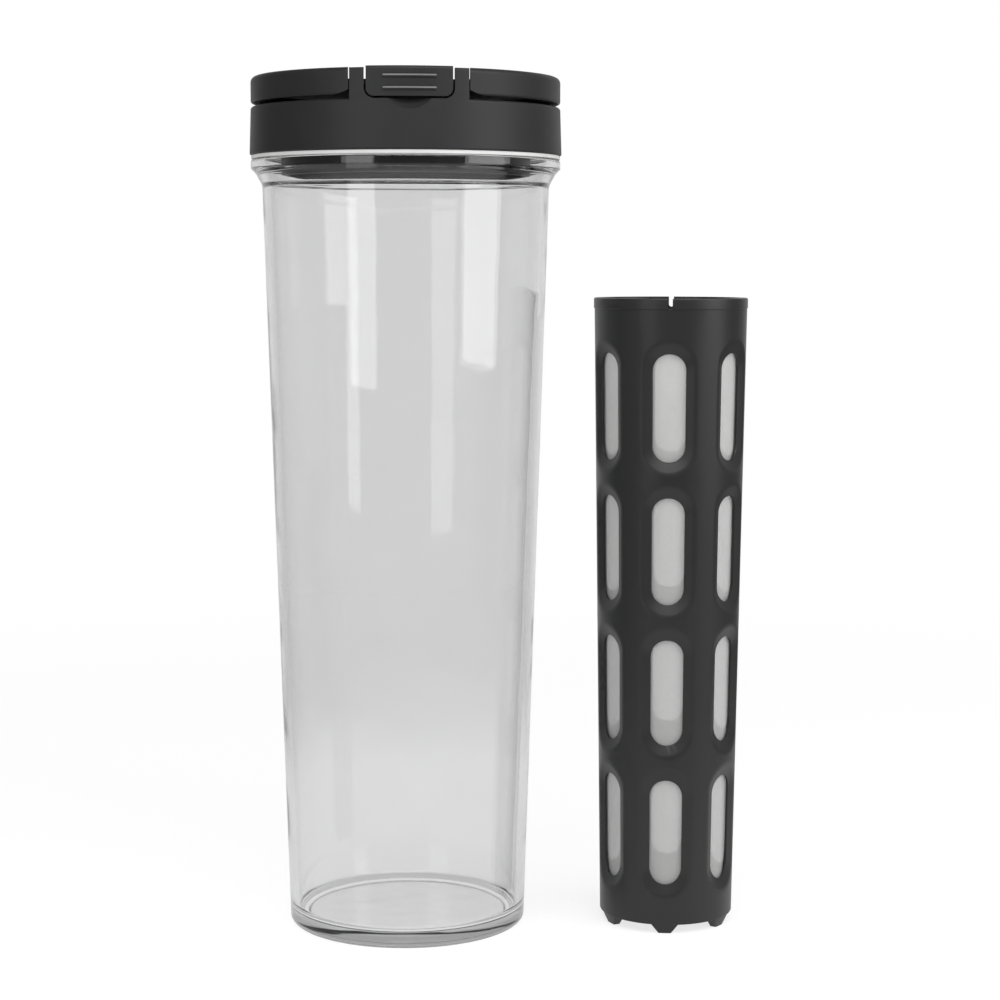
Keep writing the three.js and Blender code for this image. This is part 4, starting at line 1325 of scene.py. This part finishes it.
def ray_history(finish):
    """Whether a ray was scattered, mirrored or let through plastic on its way, each as 0 or 1."""
    path = finish.node("LightPath")
    depths = [path.other(kind + " Depth") for kind in ("Diffuse", "Glossy", "Transmission")]
    return [path.maths("MINIMUM", depth, 1) for depth in depths]


def back_share(finish, direction, inside, first=0.0, last=1.0):
    """How far a direction points to the back; for rays that went through plastic the back is wider."""
    return finish.ramp(
        direction, back_from - back_from * inside, back_full - (back_full - back_full_inside) * inside,
        first, last, "SMOOTHSTEP",
    )


finish = Finish(bpy.data.materials.new("white_table"))
scattered, mirrored, inside = ray_history(finish)
seen = 1 - scattered
place = finish.node("TexCoord", output="Object")
away = finish.node("VectorMath", {"operation": "LENGTH"}, {0: place}, output="Value")
distant = finish.ramp(away, floor_near, floor_far, shape="SMOOTHSTEP")
near = finish.ramp(away, mirror_near, mirror_far, 1.0, 0.0, "SMOOTHSTEP")
behind = back_share(finish, finish.along(place, "Y") / away, inside)
lit = room_front + (room_back - room_front) * near.maths("MAXIMUM", near, behind)
shown = seen * (1 - mirrored * (1 - lit))
white = finish.node("BsdfDiffuse", None, {
    "Color": floor_paint * (1 - seen) + floor_seen * shown * (1 - distant),
})
glow = finish.node("Emission", None, {
    "Color": (1, 1, 1, 1), "Strength": shown * (floor_glow + (1 - floor_glow) * distant),
})
paint(table, finish.surface(finish.node("AddShader", None, {0: white, 1: glow})))
world = bpy.data.worlds.new("white_room")
bpy.context.scene.world = world
finish = Finish(world)
scattered, mirrored, inside = ray_history(finish)
across = finish.along(finish.node("TexCoord", output="Generated"), "X")
direction = across.other("Y") + back_side * across.maths("MAXIMUM", across, 0)
behind = back_share(finish, direction, inside, room_front, room_back)
level = room_ambient * scattered + (1 - scattered) * (1 - mirrored * (1 - behind))
room = finish.node("Background", None, {"Color": (1, 1, 1, 1), "Strength": level})
finish.surface(room, "OutputWorld")


def softbox(name, azimuth, elevation, distance, width, height, radiance):
    """A rectangular lamp that faces the pitcher, placed by its angles from the camera's side."""
    turn = Matrix.Rotation(math.radians(azimuth), 4, "Z") @ Matrix.Rotation(math.radians(-elevation), 4, "X")
    aim = Vector((0, 0, basket_height / 2))
    bpy.ops.object.light_add(type="AREA")
    lamp = bpy.context.object
    lamp.name = name
    lamp.data.shape = "RECTANGLE"
    lamp.data.size = width
    lamp.data.size_y = height
    lamp.data.energy = radiance * math.pi * width * height
    lamp.visible_camera = False
    lamp.matrix_world = (
        Matrix.Translation(aim) @ turn @ Matrix.Translation((0, -distance, 0))
        @ Matrix.Rotation(math.pi / 2, 4, "X")
    )


softbox("left_softbox", -38, 20, 1.0, 0.4, 0.8, 1.7)
softbox("right_softbox", 61, 26, 1.1, 0.72, 1.15, 2.3)
softbox("top_softbox", 5, 50, 1.1, 0.9, 0.7, 3.0)
